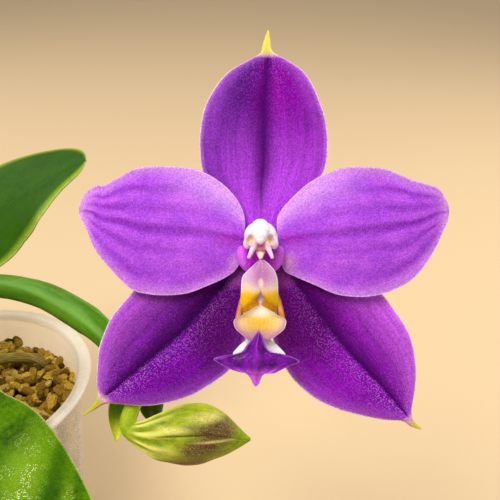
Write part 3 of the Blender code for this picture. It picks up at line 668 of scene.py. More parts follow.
def make_lobe_finish():
    """Side lobes: mauve above, cream in the middle, golden below with painted shade at the foot, and a bright
    thin edge.
    """
    finish = Finish("lip_cream", roughness=0.4, gloss=0.2, flesh=0.2, marks="blade")
    ease = finish.ease
    x, y = finish.split(finish.face)[:2]
    off_middle = finish.off(x, 1.85)
    finish.start(ease(y, -7.4, -4.6), (242, 218, 190), (220, 176, 212))
    finish.spots((184, 104, 176), 0.8, 0.8, (1.9, -4.2, 1.7, 2.4))
    finish.spots((246, 226, 196), 0.8, 0.5, (1.9, -5.8, 0.4, 0.8))
    level = finish.maths("SUBTRACT", y, finish.times(off_middle, 0.12))
    finish.coat((246, 196, 6), ease(level, -8.3, -6.6, 1.0, 0.0))
    # Painted shade: a brown inverted V at the foot of the lobes, above the spade's edge.
    slope = finish.maths("ADD", y, finish.times(off_middle, 0.75))
    finish.coat((190, 118, 4), ease(slope, -8.3, -7.2, 1.0, 0.0), ease(y, -7.3, -7.9), 0.85)
    finish.coat((255, 240, 248), finish.band(0.3), ease(y, -8.0, -6.5, 0.0, 0.8), ease(off_middle, 0.3, 0.9))
    return finish.done(finish.skin(0.17, 0.04, (255, 245, 240), 0.06), 0.02)


def make_spade_finish():
    """Callus: a hollow spade, cream at its top, golden in the middle, with rosy margins."""
    finish = Finish("callus_orange", roughness=0.4, gloss=0.2, flesh=0.2, marks="blade")
    y = finish.split(finish.face)[1]
    finish.start(finish.ease(y, -15.4, -12.8), (226, 164, 196), (252, 228, 186))
    gold = finish.patch(1.75, -12.9, 3.1, 1.7, 0.9)
    finish.coat((252, 202, 52), gold, 0.95)
    finish.coat((230, 150, 30), finish.veins(13.0, 0.45, 1.6), gold, 0.2)
    finish.spots((254, 248, 234), 0.9, 0.7, (1.8, -10.7, 1.9, 1.1))
    finish.coat((204, 130, 184), finish.band(1.5), finish.ease(y, -12.6, -11.2, 0.85, 0.0))
    finish.coat((254, 236, 240), finish.band(0.22), 0.75)
    return finish.done(finish.skin(0.16, 0.05, (255, 240, 210), 0.05), 0.02)


def make_flank_finish():
    """Orange flanks of the lip, with a brownish violet edge."""
    finish = Finish("lip_flank", roughness=0.4, gloss=0.25, flesh=0.2, marks="blade")
    finish.start(finish.cloud(1.4, 2.0), (206, 132, 44), (226, 160, 92))
    finish.coat((150, 78, 110), finish.band(0.35), 0.8)
    return finish.done(finish.skin(0.15, 0.03, (255, 220, 170), 0.08), 0.02)


def make_plate_finish():
    """White plate of the lip, rosy near the stalk of the midlobe."""
    finish = Finish("lip_white", roughness=0.38, gloss=0.2, flesh=0.3)
    finish.paint = (255, 252, 255)
    finish.spots((232, 176, 232), 0.6, 0.6, (2.6, -15.8, 0.9, 1.2))
    finish.spots((255, 226, 236), 1.0, 0.6, (1.85, -9.0, 1.4, 1.8))
    return finish.done(finish.cells(0.16, 0.0)["Height"], 0.02)


def make_midlobe_finish():
    """Dark purple midlobe, velvety, with a lighter ridge, edges and tongue."""
    finish = Finish("midlobe_purple", roughness=0.32, gloss=0.2, marks="blade")
    y = finish.split(finish.face)[1]
    finish.start(finish.cloud(1.5, 3.0), (70, 0, 102), (126, 2, 168))
    finish.coat((164, 62, 206), finish.rib(0.03, 0.18, 0.8), finish.ease(y, -19.5, -15.5, 0.2, 1.0))
    finish.coat((222, 92, 252), finish.ease(y, -22.6, -20.4, 0.95, 0.0))
    finish.coat((176, 104, 214), finish.band(0.45), 0.75)
    return finish.done(finish.skin(0.16, 0.08, (206, 140, 236), 0.2, 0.4), 0.02)


# Green materials

def make_bud_finish():
    """Yellow-green bud: ribs at its base, seams, a speckled purple flush, painted highlights, glints and
    shade.
    """
    finish = Finish("bud_green", roughness=0.34, gloss=0.14, flesh=0.08, depth=1.2, marks="stalk")
    share, seam, rib = finish.marks
    y = finish.split(finish.face)[1]
    ease = finish.ease
    finish.start(finish.cloud(2.6, 3.0), (94, 122, 0), (148, 166, 2))
    finish.coat((196, 206, 24), finish.cloud(0.7, 2.0, finish.stretched(0.1, 1.6, 1.6)), 0.35)
    base = ease(share, 0.12, 0.55, 0.8, 0.0)
    # Paler rib crests with a painted highlight, and painted shade in the furrows between them, near the base.
    finish.coat((238, 236, 122), base, ease(rib, -0.3, 0.9, 0.08, 1.0))
    finish.coat((106, 132, 4), base, ease(rib, -0.9, -0.1, 0.9, 0.0))
    finish.coat((148, 168, 16), ease(share, 0.03, 0.12, 0.85, 0.0))
    finish.coat((112, 152, 2), ease(share, 0.84, 0.99, 0.0, 0.7))
    # Painted shade along the bud's lower side.
    finish.coat((96, 104, 6), ease(y, -40.5, -37.0, 0.45, 0.0))
    cells = finish.cells(0.19, 0.3)
    speckled = ease(cells["Tone"], 0.1, 0.8, 0.62, 1.0)
    for *oval, strength in ((-6.0, -33.3, 3.8, 2.6, 1.0), (-9.0, -36.4, 4.0, 1.9, 0.95),
                            (-11.5, -32.9, 2.6, 0.8, 0.5)):
        finish.coat((92, 46, 52), finish.patch(*oval, 0.6, 0.0, 6.0), speckled, strength)
    finish.spots((110, 70, 54), 0.85, 0.5, (-12.2, -39.6, 5.2, 1.5))
    finish.coat((80, 78, 12), ease(seam, 0.4, 1.0, 0.0, 0.8))
    # Painted highlights: streaks where the glossy skin catches the light, a thin one below the seam.
    glossy = ease(cells["Tone"], 0.0, 0.9, 0.3, 0.75)
    for oval in ((-8.0, -30.8, 2.6, 0.8), (-16.5, -37.1, 3.0, 0.6), (-6.5, -35.0, 3.2, 0.24),
                 (-14.4, -32.9, 2.6, 0.6)):
        finish.coat((244, 232, 130), finish.patch(*oval, 0.8, 0.0, 6.0), glossy)
    # Painted glints on a few cells.
    finish.coat((234, 222, 110), cells["Glint"], 0.3)
    return finish.done(cells["Height"], 0.03)


def make_stalk_finish(name, dark, light, pale, top):
    """Fresh green stalk: soft lengthwise streaks, a painted highlight stripe on its upper side, painted shade
    below.
    """
    finish = Finish(name, roughness=0.42, gloss=0.1, flesh=0.08, depth=1.2, marks="stalk")
    up = finish.marks[2]
    finish.start(finish.ease(finish.streaks(2.0, 0.9, 3.0), 0.0, 1.0, 0.25, 0.75), dark, light)
    finish.coat(dark, finish.cloud(0.9, 3.0), 0.25)
    # Painted highlight: a pale stripe along the upper side.
    finish.coat(pale, finish.ease(finish.off(up, top), 0.0, 0.3, 0.4, 0.0))
    # Painted shade on the underside.
    finish.coat(dark, finish.ease(up, -0.9, 0.15, 0.85, 0.0))
    cells = finish.cells(0.3, 0.04)
    # Painted glints in the highlight colour.
    finish.coat(pale, cells["Glint"], 0.4)
    return finish.done(cells["Height"], 0.03)


def make_bract_finish():
    """Thin green scale that turns yellow-green at its tip."""
    finish = Finish("bract_green", roughness=0.42, gloss=0.25, flesh=0.15, depth=1.2, marks="blade")
    share = finish.marks[1]
    finish.start(finish.ease(share, 0.35, 0.9), (96, 150, 6), (196, 206, 36))
    finish.coat((66, 118, 4), finish.veins(9.0, 0.35, 0.4), 0.25)
    finish.coat((190, 204, 70), finish.band(0.4), 0.5)
    return finish.done(finish.skin(0.22, 0.05, (220, 230, 140), 0.1), 0.03)


def make_leaf_finish():
    """Thick glossy leaf: pebbled skin, faint parallel veins, a sunken midrib, a thin pale margin, painted
    light and shade.
    """
    finish = Finish("leaf_green", roughness=0.45, gloss=0.03, flesh=0.04, depth=2.0, marks="blade")
    share = finish.marks[1]
    y = finish.split(finish.face)[1]
    finish.start(finish.cloud(12.0, 3.0), (32, 70, 0), (74, 116, 0))
    finish.coat((104, 146, 6), finish.cloud(1.4, 3.0), 0.3)
    finish.coat((38, 74, 2), finish.veins(26.0, 0.4, 0.5), 0.14)
    finish.coat((44, 82, 4), finish.rib(0.005, 0.05, 0.5))
    # Painted shade on the leaves that stand high behind the flower, with painted light glowing through their
    # margins.
    high = finish.ease(y, -20.0, -5.0)
    finish.coat((30, 76, 0), high, 0.75)
    finish.coat((158, 182, 50), finish.band(5.0), high, 0.7)
    finish.coat((132, 156, 60), finish.ease(share, 0.0, 0.16, 0.7, 0.0))
    finish.coat((176, 172, 104), finish.band(0.7), 0.8)
    finish.coat((104, 146, 50), finish.mark("reverse", "Fac"), 0.6)
    cells = finish.cells(0.34, 0.34)
    finish.vary(cells, 0.18)
    patchy = finish.ease(finish.cloud(5.0, 3.0), 0.25, 0.8, 0.1, 1.0)
    # Painted light: two sunlit patches with painted glints on their cells.
    for oval in ((-57.6, -57.8, 4.8, 8.2), (-45.4, -63.6, 1.6, 4.4)):
        lit = finish.patch(*oval, 0.8, LIT_LEAF_Z)
        finish.coat((140, 180, 24), lit, 0.4)
        finish.coat((250, 252, 196), lit, cells["Glint"], patchy)
    # Painted shadow between the sunlit patches.
    finish.coat((30, 68, 0), finish.patch(-49.6, -61.0, 2.4, 9.5, 0.7, LIT_LEAF_Z), 0.65)
    finish.feed(finish.shader["Roughness"], finish.ease(cells["Tone"], 0.2, 0.9, 0.3, 0.52))
    return finish.done(cells["Height"], 0.07)


def make_root_finish():
    """Olive and buff root, streaked lengthwise, with a greener growing tip."""
    finish = Finish("root_green", roughness=0.75, gloss=0.15, marks="stalk")
    share = finish.marks[0]
    streak = finish.streaks(4.0, 0.7, 4.0)
    finish.start(streak, (96, 80, 26), (158, 138, 72))
    finish.coat((112, 88, 34), finish.cloud(2.2, 3.0), 0.5)
    finish.coat((104, 108, 30), finish.ease(share, 0.7, 1.0, 0.0, 0.6))
    return finish.done(streak, 0.12)


def make_stem_finish():
    """Short leafy stem: green, with brown dry edges where the old sheaths end."""
    finish = Finish("stem_green", roughness=0.5, marks="stalk")
    share = finish.marks[0]
    finish.start(finish.cloud(3.0, 3.0), (96, 122, 36), (140, 156, 66))
    ring = finish.maths("PINGPONG", finish.times(share, SHEATH_COUNT), 0.5)
    finish.coat((120, 88, 46), finish.ease(ring, 0.0, 0.14, 0.75, 0.0))
    return finish.done(finish.cloud(0.9, 3.0, finish.stretched(3.0, 0.4, 3.0)), 0.1)


# Pot and bark materials

def make_pot_finish():
    """Clear plastic, slightly milky: clearest on the wall, milkier at the lip and, partly as painted
    reflection, seen edge-on.
    """
    finish = Finish("clear_plastic", roughness=0.22)
    haze = finish.cloud(14.0, 2.0)
    finish.start(haze, (238, 232, 222), (250, 246, 238))
    # Milkier seen edge-on: partly the longer path through the plastic, partly a painted reflection.
    edge_on = finish.ease(finish.add("LayerWeight", 0.35).outputs["Facing"], 0.3, 1.0, 0.0, 0.4)
    lip = finish.ease(finish.mark("height", "Fac"), POT_HEIGHT - 3.0, POT_HEIGHT - 1.2, 0.12, 0.38)
    milk = finish.maths("ADD", finish.maths("ADD", lip, edge_on), finish.times(haze, 0.06))
    finish.feed(finish.shader["Alpha"], finish.maths("MINIMUM", milk, 0.88))
    scuff = finish.cloud(3.0, 4.0, finish.stretched(1.0, 6.0, 6.0))
    finish.feed(finish.shader["Roughness"], finish.ease(scuff, 0.2, 1.0, 0.16, 0.36))
    return finish.done(scuff, 0.02)


def make_bark_finish():
    """Bark chips, each with a tone of its own, from golden to dark brown, with rough grain."""
    finish = Finish("bark", roughness=0.9, gloss=0.1)
    tone = finish.mark("chip", "Fac")
    finish.start(finish.ease(tone, 0.0, 0.4), (74, 52, 12), (176, 134, 40))
    finish.coat((232, 186, 68), finish.ease(tone, 0.35, 0.75))
    finish.coat((240, 206, 100), finish.ease(tone, 0.8, 1.0))
    grain = finish.cloud(0.7, 5.0, finish.stretched(1.6, 0.7, 1.6))
    finish.coat((78, 52, 14), finish.maths("SUBTRACT", 1.0, grain), 0.45)
    return finish.done(grain, 0.35)


def make_core_finish():
    """Painted shade: a near-black core that shows in the gaps between the chips."""
    finish = Finish("bark_gap_shade", roughness=0.95, gloss=0.1)
    cloud = finish.cloud(2.0, 4.0)
    finish.start(cloud, (30, 20, 11), (66, 44, 24))
    return finish.done(cloud, 0.4)


# Flower outlines, close to those of the solids: (x, y) from the flower's middle to the tip

DORSAL_LEFT = [(-1.6, 3.0), (-3.6, 6.4), (-6.9, 10.5), (-8.9, 14.6), (-9.5, 19.1), (-9.3, 23.0),
               (-8.4, 27.1), (-6.4, 30.8), (-3.9, 33.7), (-0.2, 35.9), (1.9, 37.2), (2.4, 38.9),
               (3.1, 41.6)]
DORSAL_RIGHT = [(5.6, 3.0), (7.9, 6.4), (11.3, 10.5), (14.0, 15.2), (14.6, 19.4), (14.4, 23.0),
                (13.6, 26.5), (11.8, 31.0), (9.9, 33.8), (7.1, 35.8), (4.4, 37.4), (4.0, 39.0),
                (3.8, 41.4)]
LATERAL_LEFT_UPPER = [(-0.6, 2.4), (-4.5, 1.3), (-11.4, -1.7), (-17.8, -4.3), (-21.7, -7.5),
                      (-25.6, -12.0), (-27.3, -15.3), (-28.4, -18.5), (-28.8, -21.7), (-29.0, -25.0),
                      (-29.0, -27.3), (-30.3, -29.6), (-31.9, -31.0)]
LATERAL_LEFT_LOWER = [(1.4, 0.2), (1.5, -4.7), (0.7, -11.2), (-1.1, -17.8), (-3.9, -22.6), (-9.2, -26.4),
                      (-12.5, -27.9), (-15.7, -28.8), (-18.9, -29.3), (-22.1, -29.3), (-26.4, -29.1),
                      (-29.4, -30.5), (-31.5, -31.7)]
LATERAL_RIGHT_UPPER = [(4.7, 2.2), (9.4, 0.7), (15.9, -2.2), (21.0, -5.1), (24.9, -8.4), (29.0, -14.0),
                       (30.5, -17.4), (31.2, -21.0), (31.3, -24.3), (30.9, -28.2), (30.8, -31.0),
                       (31.4, -32.5), (32.6, -33.5)]
LATERAL_RIGHT_LOWER = [(2.3, 0.0), (2.4, -5.6), (3.4, -12.2), (4.9, -18.7), (7.6, -23.6), (10.3, -26.4),
                       (12.9, -28.3), (16.1, -29.8), (19.3, -30.8), (23.6, -31.8), (28.4, -32.6),
                       (30.6, -33.8), (32.2, -34.2)]
PETAL_LEFT_UPPER = [(-1.1, 2.9), (-0.9, 5.5), (-1.9, 8.5), (-4.4, 11.6), (-7.9, 14.0), (-11.4, 15.1),
                    (-16.2, 15.4), (-20.9, 15.0), (-24.0, 13.5), (-27.0, 12.0), (-28.3, 12.1),
                    (-30.8, 10.5), (-32.0, 8.0)]
PETAL_LEFT_LOWER = [(-1.1, 0.9), (-1.6, -1.5), (-2.6, -3.6), (-4.6, -5.1), (-7.9, -6.6), (-11.4, -7.9),
                    (-15.1, -8.3), (-18.7, -8.1), (-22.1, -7.0), (-26.8, -2.4), (-29.0, 0.6), (-30.4, 3.7),
                    (-31.9, 6.4)]
PETAL_RIGHT_UPPER = [(5.1, 2.6), (4.9, 5.0), (5.4, 6.8), (7.3, 9.2), (10.5, 12.1), (13.8, 14.0),
                     (17.1, 15.1), (21.1, 15.3), (25.3, 14.8), (29.6, 13.1), (32.8, 12.2), (35.3, 11.2),
                     (37.3, 8.0)]
PETAL_RIGHT_LOWER = [(5.1, 0.6), (5.7, -1.5), (6.3, -3.8), (8.8, -5.1), (12.3, -6.6), (15.8, -8.1),
                     (19.5, -8.6), (23.0, -8.4), (26.5, -7.3), (30.2, -5.1), (33.5, -1.1), (35.5, 2.4),
                     (37.2, 6.0)]


# Each form gives the depth of a face from its share, across and points. Some need only a few of these.

def sepal_form(share, across, points):
    """Depth of a sepal's face: a crease between two soft pillows, falling edges, a leaning tip."""
    length = np.sin(math.pi * np.minimum(1.0, 0.1 + share))
    groove = 0.75 * bell(across, 0.16) * length
    edge = 0.9 * np.clip((np.abs(across) - 0.45) / 0.55, 0.0, None) ** 2
    veins = 0.014 * np.cos(across * math.pi * 9.0)
    wave = 0.18 * ripple(points, 11.0, 3) * ease(0.3, 1.0, np.abs(across))
    return wave + veins * length - groove - edge - 1.9 * share ** 3


def petal_form(share, across, points):
    """Depth of a petal's face: a low dome with a fine midrib, a waved edge, and a tip leaning back."""
    dome = 1.3 * (1.0 - across ** 2) * np.sin(math.pi * np.minimum(1.0, share * 1.1)) ** 0.8
    rib = 0.22 * bell(across, 0.05) * np.sin(math.pi * share)
    veins = 0.035 * np.cos(across * math.pi * 7.0) * np.sin(math.pi * share)
    wave = 0.3 * ripple(points, 13.0, 5) * ease(0.35, 1.0, np.abs(across)) * ease(0.05, 0.3, share)
    return dome - rib - veins + wave - 2.4 * np.clip(share - 0.5, 0.0, None) ** 2 / 0.25


def blade_grid(left, right, rows, columns, rounded_end=0.02):
    """Flat points of a blade between its two edges, and its across, share and edge marks."""
    left_edge = curve(left, rows)
    right_edge = curve(right, rows)
    share = np.linspace(0.0, 1.0, rows + 1)
    across = np.sin(np.linspace(-1.0, 1.0, columns + 1) * math.pi / 2.0)
    middle = (left_edge + right_edge) / 2.0
    half = (right_edge - left_edge) / 2.0
    closing = np.clip((share - 1.0 + rounded_end) / rounded_end, 0.0, 1.0)
    half = half * np.sqrt(1.0 - 0.98 * closing ** 2)[:, None]
    flat = middle[:, None, :] + half[:, None, :] * across[None, :, None]
    width = np.linalg.norm(half, axis=1)[:, None]
    across = np.broadcast_to(across, (rows + 1, columns + 1))
    share = np.broadcast_to(share[:, None], across.shape)
    edge = (1.0 - np.abs(across)) * width
    return flat, across, share, edge


def make_blade(name, left, right, front, form, middle, material, slot, nodes, pinch=None,
               rows=BLADE_ROWS, columns=BLADE_COLUMNS, thin=0.16, turned=1.0):
    """One petal, sepal or lobe: thin at its rounded margin, and slim and round where it ends in a horn."""
    flat, across, share, edge = blade_grid(left, right, rows, columns, 0.02 if pinch is None else 0.05)
    thickness = thin + (middle - thin) * (1.0 - np.abs(across) ** 5)
    swell = 0.0
    if pinch is not None:
        horn = ease(HORN_START, HORN_FULL, share)
        centre_line = flat.mean(axis=1, keepdims=True)
        flat = centre_line + (flat - centre_line) * (1.0 - pinch * horn)[..., None]
        edge = edge * (1.0 - pinch * horn)
        width = np.max(edge, axis=1, keepdims=True)
        swell = 0.55 * horn * np.minimum(width, 1.2) * np.sqrt(1.0 - np.clip(across ** 2, 0.0, 1.0))
        thickness = thickness * (1.0 - 0.55 * horn) + swell * 1.6 + 0.05
    x, y = flat[..., 0], flat[..., 1]
    depth = form(share, across, gather(x, y, share)) + swell * 0.6
    front_points = from_bloom(x, y, front + depth)
    back_points = from_bloom(x, y, front + depth - thickness)
    make_sheet(name, front_points, back_points, material, slot, nodes, gather(across * turned, share, edge))


def make_sepals_and_petals():
    """Three sepals with horned tips, and two broad petals in front of them."""
    top = make_sepal_finish("dorsal_violet", (138, 8, 178), (86, 16, 130), (72, 0, 104), (198, 78, 250),
                            (126, 42, 174), (224, 216, 84), (236, 222, 140), sparkle=0.1, near=0.26,
                            far=0.26, horned=0.872, lit_end=0.8)
    left_side = make_sepal_finish("lateral_left_violet", (134, 10, 184), (132, 36, 178), (48, 0, 74),
                                  (88, 0, 116), (176, 76, 204), (186, 188, 52), (214, 160, 118),
                                  sparkle=0.6, near=0.1, far=0.3, horned=0.886, lit_end=1.05)
    right_side = make_sepal_finish("lateral_right_violet", (154, 20, 200), (154, 34, 198), (62, 0, 88),
                                   (120, 4, 148), (212, 96, 246), (204, 190, 60), (232, 178, 122),
                                   sparkle=0.6, near=0.1, far=0.3, horned=0.93, lit_end=1.05)
    for name, left, right, finish, turned, pinch in (
            ("dorsal_sepal", DORSAL_LEFT, DORSAL_RIGHT, top, -1.0, 0.0),
            ("lateral_sepal_left", LATERAL_LEFT_LOWER, LATERAL_LEFT_UPPER, left_side, 1.0, 0.3),
            ("lateral_sepal_right", LATERAL_RIGHT_UPPER, LATERAL_RIGHT_LOWER, right_side, -1.0, 0.25)):
        make_blade(name + "_blade", left, right, SEPAL_FRONT, sepal_form, 0.9, finish,
                   "sepal_violet", [name], pinch=pinch, turned=turned)
    petal = make_petal_finish()
    for name, left, right, turned in (("petal_left", PETAL_LEFT_LOWER, PETAL_LEFT_UPPER, 1.0),
                                      ("petal_right", PETAL_RIGHT_UPPER, PETAL_RIGHT_LOWER, -1.0)):
        make_blade(name + "_blade", left, right, PETAL_FRONT, petal_form, 0.8, petal,
                   "petal_violet", [name], turned=turned)


def make_column():
    """White column: hood, side lobes, two eyes, the stigma, two prongs and a beak."""
    white = make_column_finish()
    blobs = [((2.0, 2.3, 1.0), (2.2, 2.2, 3.0), 0.0),
             ((1.85, 2.5, 4.2), (2.9, 2.6, 2.0), 0.0),
             ((1.8, 4.2, 4.6), (1.5, 1.3, 1.6), 0.0),
             ((-0.35, 1.3, 4.9), (0.85, 1.2, 1.0), -10.0),
             ((4.15, 1.3, 4.9), (0.85, 1.2, 1.0), 10.0),
             ((1.85, 0.6, 4.6), (1.5, 0.8, 0.9), 0.0),
             ((1.85, -0.35, 5.0), (0.85, 0.5, 0.5), 0.0),
             ((1.85, -0.85, 5.1), (0.62, 0.55, 0.45), 0.0),
             ((1.85, -1.3, 5.2), (0.4, 0.35, 0.35), 0.0)]
    for top_x, end_x, lean in ((1.05, -0.15, -22.0), (2.75, 3.8, 20.0)):
        for step in range(PRONG_STEPS + 1):
            share = step / PRONG_STEPS
            centre = (top_x + (end_x - top_x) * share, 1.45 - 2.6 * share, 5.6 + 0.9 * share)
            radius = 0.66 - 0.32 * share
            blobs.append((centre, (radius, 0.7 - 0.26 * share, radius), lean))
    dents = [((0.0, 1.75, 6.2), (0.75, 1.0, 1.6), 1.0),
             ((3.65, 1.75, 6.2), (0.75, 1.0, 1.6), 1.0),
             ((1.85, 0.9, 5.6), (0.6, 0.6, 1.0), 0.5)]
    fuse("column_hood", blobs, 0.1, white, "column_white", ["column"], dents)
    blobs = [((1.8, 3.4, 5.3), (1.7, 1.8, 1.5), 0.0),
             ((1.8, 2.5, 6.0), (1.15, 1.4, 1.2), 0.0),
             ((1.8, 1.7, 6.5), (0.72, 0.75, 0.75), 0.0)]
    fuse("anther_cap_dome", blobs, 0.1, make_cap_finish(), "cap_cream", ["anther_cap"])


def make_foot():
    """Magenta foot: two cheeks that flow into a valley between them."""
    blobs = [((1.9, -1.9, 0.9), (2.6, 2.1, 0.9), 0.0)]
    for side in (-1.0, 1.0):
        blobs.append(((1.9 + side * 3.0, -1.4, 1.3), (1.25, 2.3, 1.2), -15.0 * side))
        blobs.append(((1.9 + side * 2.1, -2.3, 1.2), (1.6, 1.7, 1.0), -12.0 * side))
    fuse("column_foot_cheeks", blobs, 0.12, make_foot_finish(), "foot_magenta", ["column_foot"])


LOBE_LEFT_OUTER = [(1.6, -1.6), (0.9, -2.4), (-0.5, -3.7), (-1.4, -4.9), (-1.6, -7.2), (-1.7, -9.5),
                   (-1.8, -11.6)]
LOBE_LEFT_INNER = [(1.92, -1.75), (1.93, -3.2), (1.93, -5.3), (1.86, -7.1), (1.15, -8.5), (1.35, -9.2),
                   (1.8, -9.8)]
LOBE_RIGHT_INNER = [(1.86, -1.75), (1.83, -3.2), (1.83, -5.3), (1.88, -7.1), (2.5, -8.5), (2.25, -9.2),
                    (1.9, -9.8)]
LOBE_RIGHT_OUTER = [(2.15, -1.6), (2.7, -1.9), (3.5, -2.6), (4.4, -3.7), (4.9, -5.3), (5.0, -7.2),
                    (5.1, -9.5), (5.2, -11.6)]
SPADE_LEFT = [(1.7, -9.7), (0.0, -10.6), (-1.6, -11.6), (-2.6, -12.1), (-2.9, -12.8), (-2.5, -14.0),
              (-1.6, -14.9), (-0.4, -16.0)]
SPADE_RIGHT = [(1.9, -9.7), (3.5, -10.6), (5.1, -11.6), (6.1, -12.1), (6.4, -12.8), (6.0, -14.0),
               (5.1, -14.9), (3.7, -16.0)]
FLANK_OUTER = [(2.9, -7.0), (3.65, -8.7), (4.1, -10.4), (4.4, -11.8), (4.4, -12.7)]
FLANK_INNER = [(2.8, -7.3), (2.9, -8.9), (3.1, -10.4), (3.3, -11.8), (3.6, -12.7)]
PLATE_LEFT = [(0.0, -4.4), (-1.0, -8.0), (-1.3, -12.0), (-1.1, -14.6), (-0.4, -15.9), (-1.8, -17.2),
              (-3.1, -18.7), (-2.4, -19.3)]
PLATE_RIGHT = [(3.8, -4.4), (4.6, -8.0), (4.9, -12.0), (4.7, -14.6), (3.6, -15.9), (5.0, -17.3),
               (6.4, -18.9), (5.4, -19.5)]
MIDLOBE_LEFT = [(1.4, -14.2), (0.4, -15.5), (-0.7, -16.9), (-1.4, -17.9), (-3.0, -18.5), (-6.4, -19.2),
                (-5.3, -20.2), (-3.5, -21.1), (-1.8, -21.6), (-0.7, -21.8), (0.1, -22.7), (0.5, -23.6),
                (0.9, -24.2)]
MIDLOBE_RIGHT = [(1.6, -14.2), (2.1, -14.9), (2.5, -16.0), (3.0, -17.4), (4.0, -18.1), (6.0, -18.5),
                 (8.8, -19.7), (6.9, -20.6), (5.4, -21.3), (4.2, -21.8), (2.8, -21.8), (2.1, -22.3),
                 (1.6, -23.6), (1.1, -24.2)]


def lobe_form(centre_side):
    """Depth of a side lobe that is highest beside the middle and curls back at its foot."""
    def form(share, across, points):
        outer = (1.0 - across * centre_side) / 2.0
        swell = 0.5 * np.sin(math.pi * np.clip(outer * 0.75 + 0.25, 0.0, 1.0))
        return swell - 1.1 * outer ** 2 - 1.5 * ease(0.6, 1.0, share)
    return form


def spade_form(share, across, points):
    """Depth of the hollow spade, with raised shoulders and rays."""
    bowl = 0.95 * across ** 2 * np.sin(math.pi * np.clip(share * 0.9 + 0.1, 0.0, 1.0))
    rays = 0.03 * np.cos(across * math.pi * 15.0) * (1.0 - np.abs(across))
    return bowl + rays + 0.25 * ease(0.4, 0.0, share) - 0.6 * ease(0.55, 1.0, share)


def flank_form(share, across, points):
    """Depth of a flank, rolled outwards."""
    return 0.25 * (1.0 - across ** 2)


def plate_form(share, across, points):
    """Depth of the plate behind the lobes, with a small keel that shows between them."""
    keel = 2.3 * bell(across, 0.6) * bell(share - 0.27, 0.16)
    return 0.25 * (1.0 - across ** 2) + 0.3 * ease(0.75, 0.9, share) + keel


def midlobe_form(share, across, points):
    """Depth of the midlobe: a keel down its middle, arms that lean back and lift at their tips."""
    keel = 0.75 * bell(across, 0.16) * ease(0.0, 0.15, share) * ease(1.0, 0.75, share)
    arms = 1.6 * np.abs(across) ** 1.4 * np.sin(math.pi * share) ** 2
    lift = 0.5 * np.abs(across) ** 5 * np.sin(math.pi * share) ** 4
    folds = 0.12 * np.cos(across * math.pi * 5.0) * np.sin(math.pi * share)
    return keel - arms + lift + folds - 0.9 * ease(0.8, 1.0, share)


def make_lip():
    """The lip: plate, side lobes, flanks, spade and midlobe."""
    make_blade("lip_plate_white", PLATE_LEFT, PLATE_RIGHT, 1.0, plate_form, 0.5,
               make_plate_finish(), "lip_white", ["lip_plate"], **LIP_SIZE)
    cream = make_lobe_finish()
    orange = make_flank_finish()
    for name, left, right, side in (("left", LOBE_LEFT_OUTER, LOBE_LEFT_INNER, 1),
                                    ("right", LOBE_RIGHT_INNER, LOBE_RIGHT_OUTER, -1)):
        make_blade("lip_lobe_" + name, left, right, 4.9, lobe_form(side), 0.4,
                   cream, "lip_cream", ["lip_side_lobes"], **LIP_SIZE)
    for name, side in (("left", 1), ("right", -1)):
        edges = [[(LIP_MIDDLE - side * x, y) for x, y in outline] for outline in (FLANK_OUTER, FLANK_INNER)]
        make_blade("lip_flank_" + name, *edges[::side], 2.9, flank_form, 0.4,
                   orange, "callus_orange", [], **LIP_SIZE)
    make_blade("lip_spade", SPADE_LEFT, SPADE_RIGHT, 3.5, spade_form, 0.5,
               make_spade_finish(), "callus_orange", ["lip_callus"], **LIP_SIZE)
    make_blade("lip_midlobe_anchor", MIDLOBE_LEFT, MIDLOBE_RIGHT, 4.9, midlobe_form, 0.9,
               make_midlobe_finish(), "midlobe_purple", ["lip_midlobe"], **LIP_SIZE)


# Spike, stalks and bud

# Radii and widths are at shares of the length. A section of the bud is its middle's x and y, and half its
# height. A seam is an angle and a step.

SPIKE = [(-2.9, -0.5, 88.5), (1.5, -4.5, 98), (8, -10, 110), (17, -16, 120), (27.6, -23.1, 126.2),
         (43.9, -39.8, 134.8), (56.5, -55.9, 141.0), (63.7, -64.6, 142.6), (68.3, -67.8, 138.6),
         (71.0, -69.0, 134.6), (72.2, -69.3, 131.9)]
SPIKE_ROWS = 180
SPIKE_RADII = [(0.0, 2.6), (0.1, 3.0), (0.75, 3.1), (0.86, 2.8), (1.0, 1.6)]
STALK_ROWS = 90
PEDICEL = [(-21.2, -20.6, -10.2), (-19.0, -18.8, -11.4), (-13.0, -13.0, -13.2), (-4.0, -4.0, -12.8),
           (1.6, 2.0, -8.0), (2.0, 2.6, -2.6)]
PEDICEL_RADII = [(0.0, 1.3), (0.8, 1.3), (0.92, 1.6), (1.0, 2.5)]
BUD_SECTIONS = [(-23.2, -34.4, 1.3), (-22.0, -34.7, 1.9), (-20.2, -35.1, 2.7), (-17.9, -35.3, 3.9),
                (-15.5, -35.1, 4.7), (-12.3, -34.8, 5.6), (-9.4, -34.6, 5.6), (-7.0, -34.5, 4.9),
                (-4.5, -34.8, 3.7), (-2.3, -35.3, 2.1), (-0.8, -35.6, 0.9), (0.1, -35.7, 0.25)]
BUD_DEPTH = -4.0
BUD_ROWS = 160
BUD_SIDES = 168
BUD_RIBS = 10.0
BUD_FINE_RIBS = 24.0
BUD_SEAMS = [(80.0, 0.06), (147.0, 0.05), (258.0, 0.05)]
BUD_CREST = 46.0
BUD_STALK = [(-21.4, -25.4, -6.6), (-22.0, -28.7, -6.7), (-22.8, -30.8, -6.1), (-23.2, -32.4, -5.2),
             (-23.0, -33.7, -4.5), (-22.3, -34.4, -4.2), (-21.2, -34.8, -4.1), (-19.6, -35.0, -4.0)]
BUD_STALK_RADII = [(0.0, 1.4), (0.5, 1.55), (0.85, 1.5), (1.0, 1.2)]
BRACT_HALF_WIDTH = 2.3
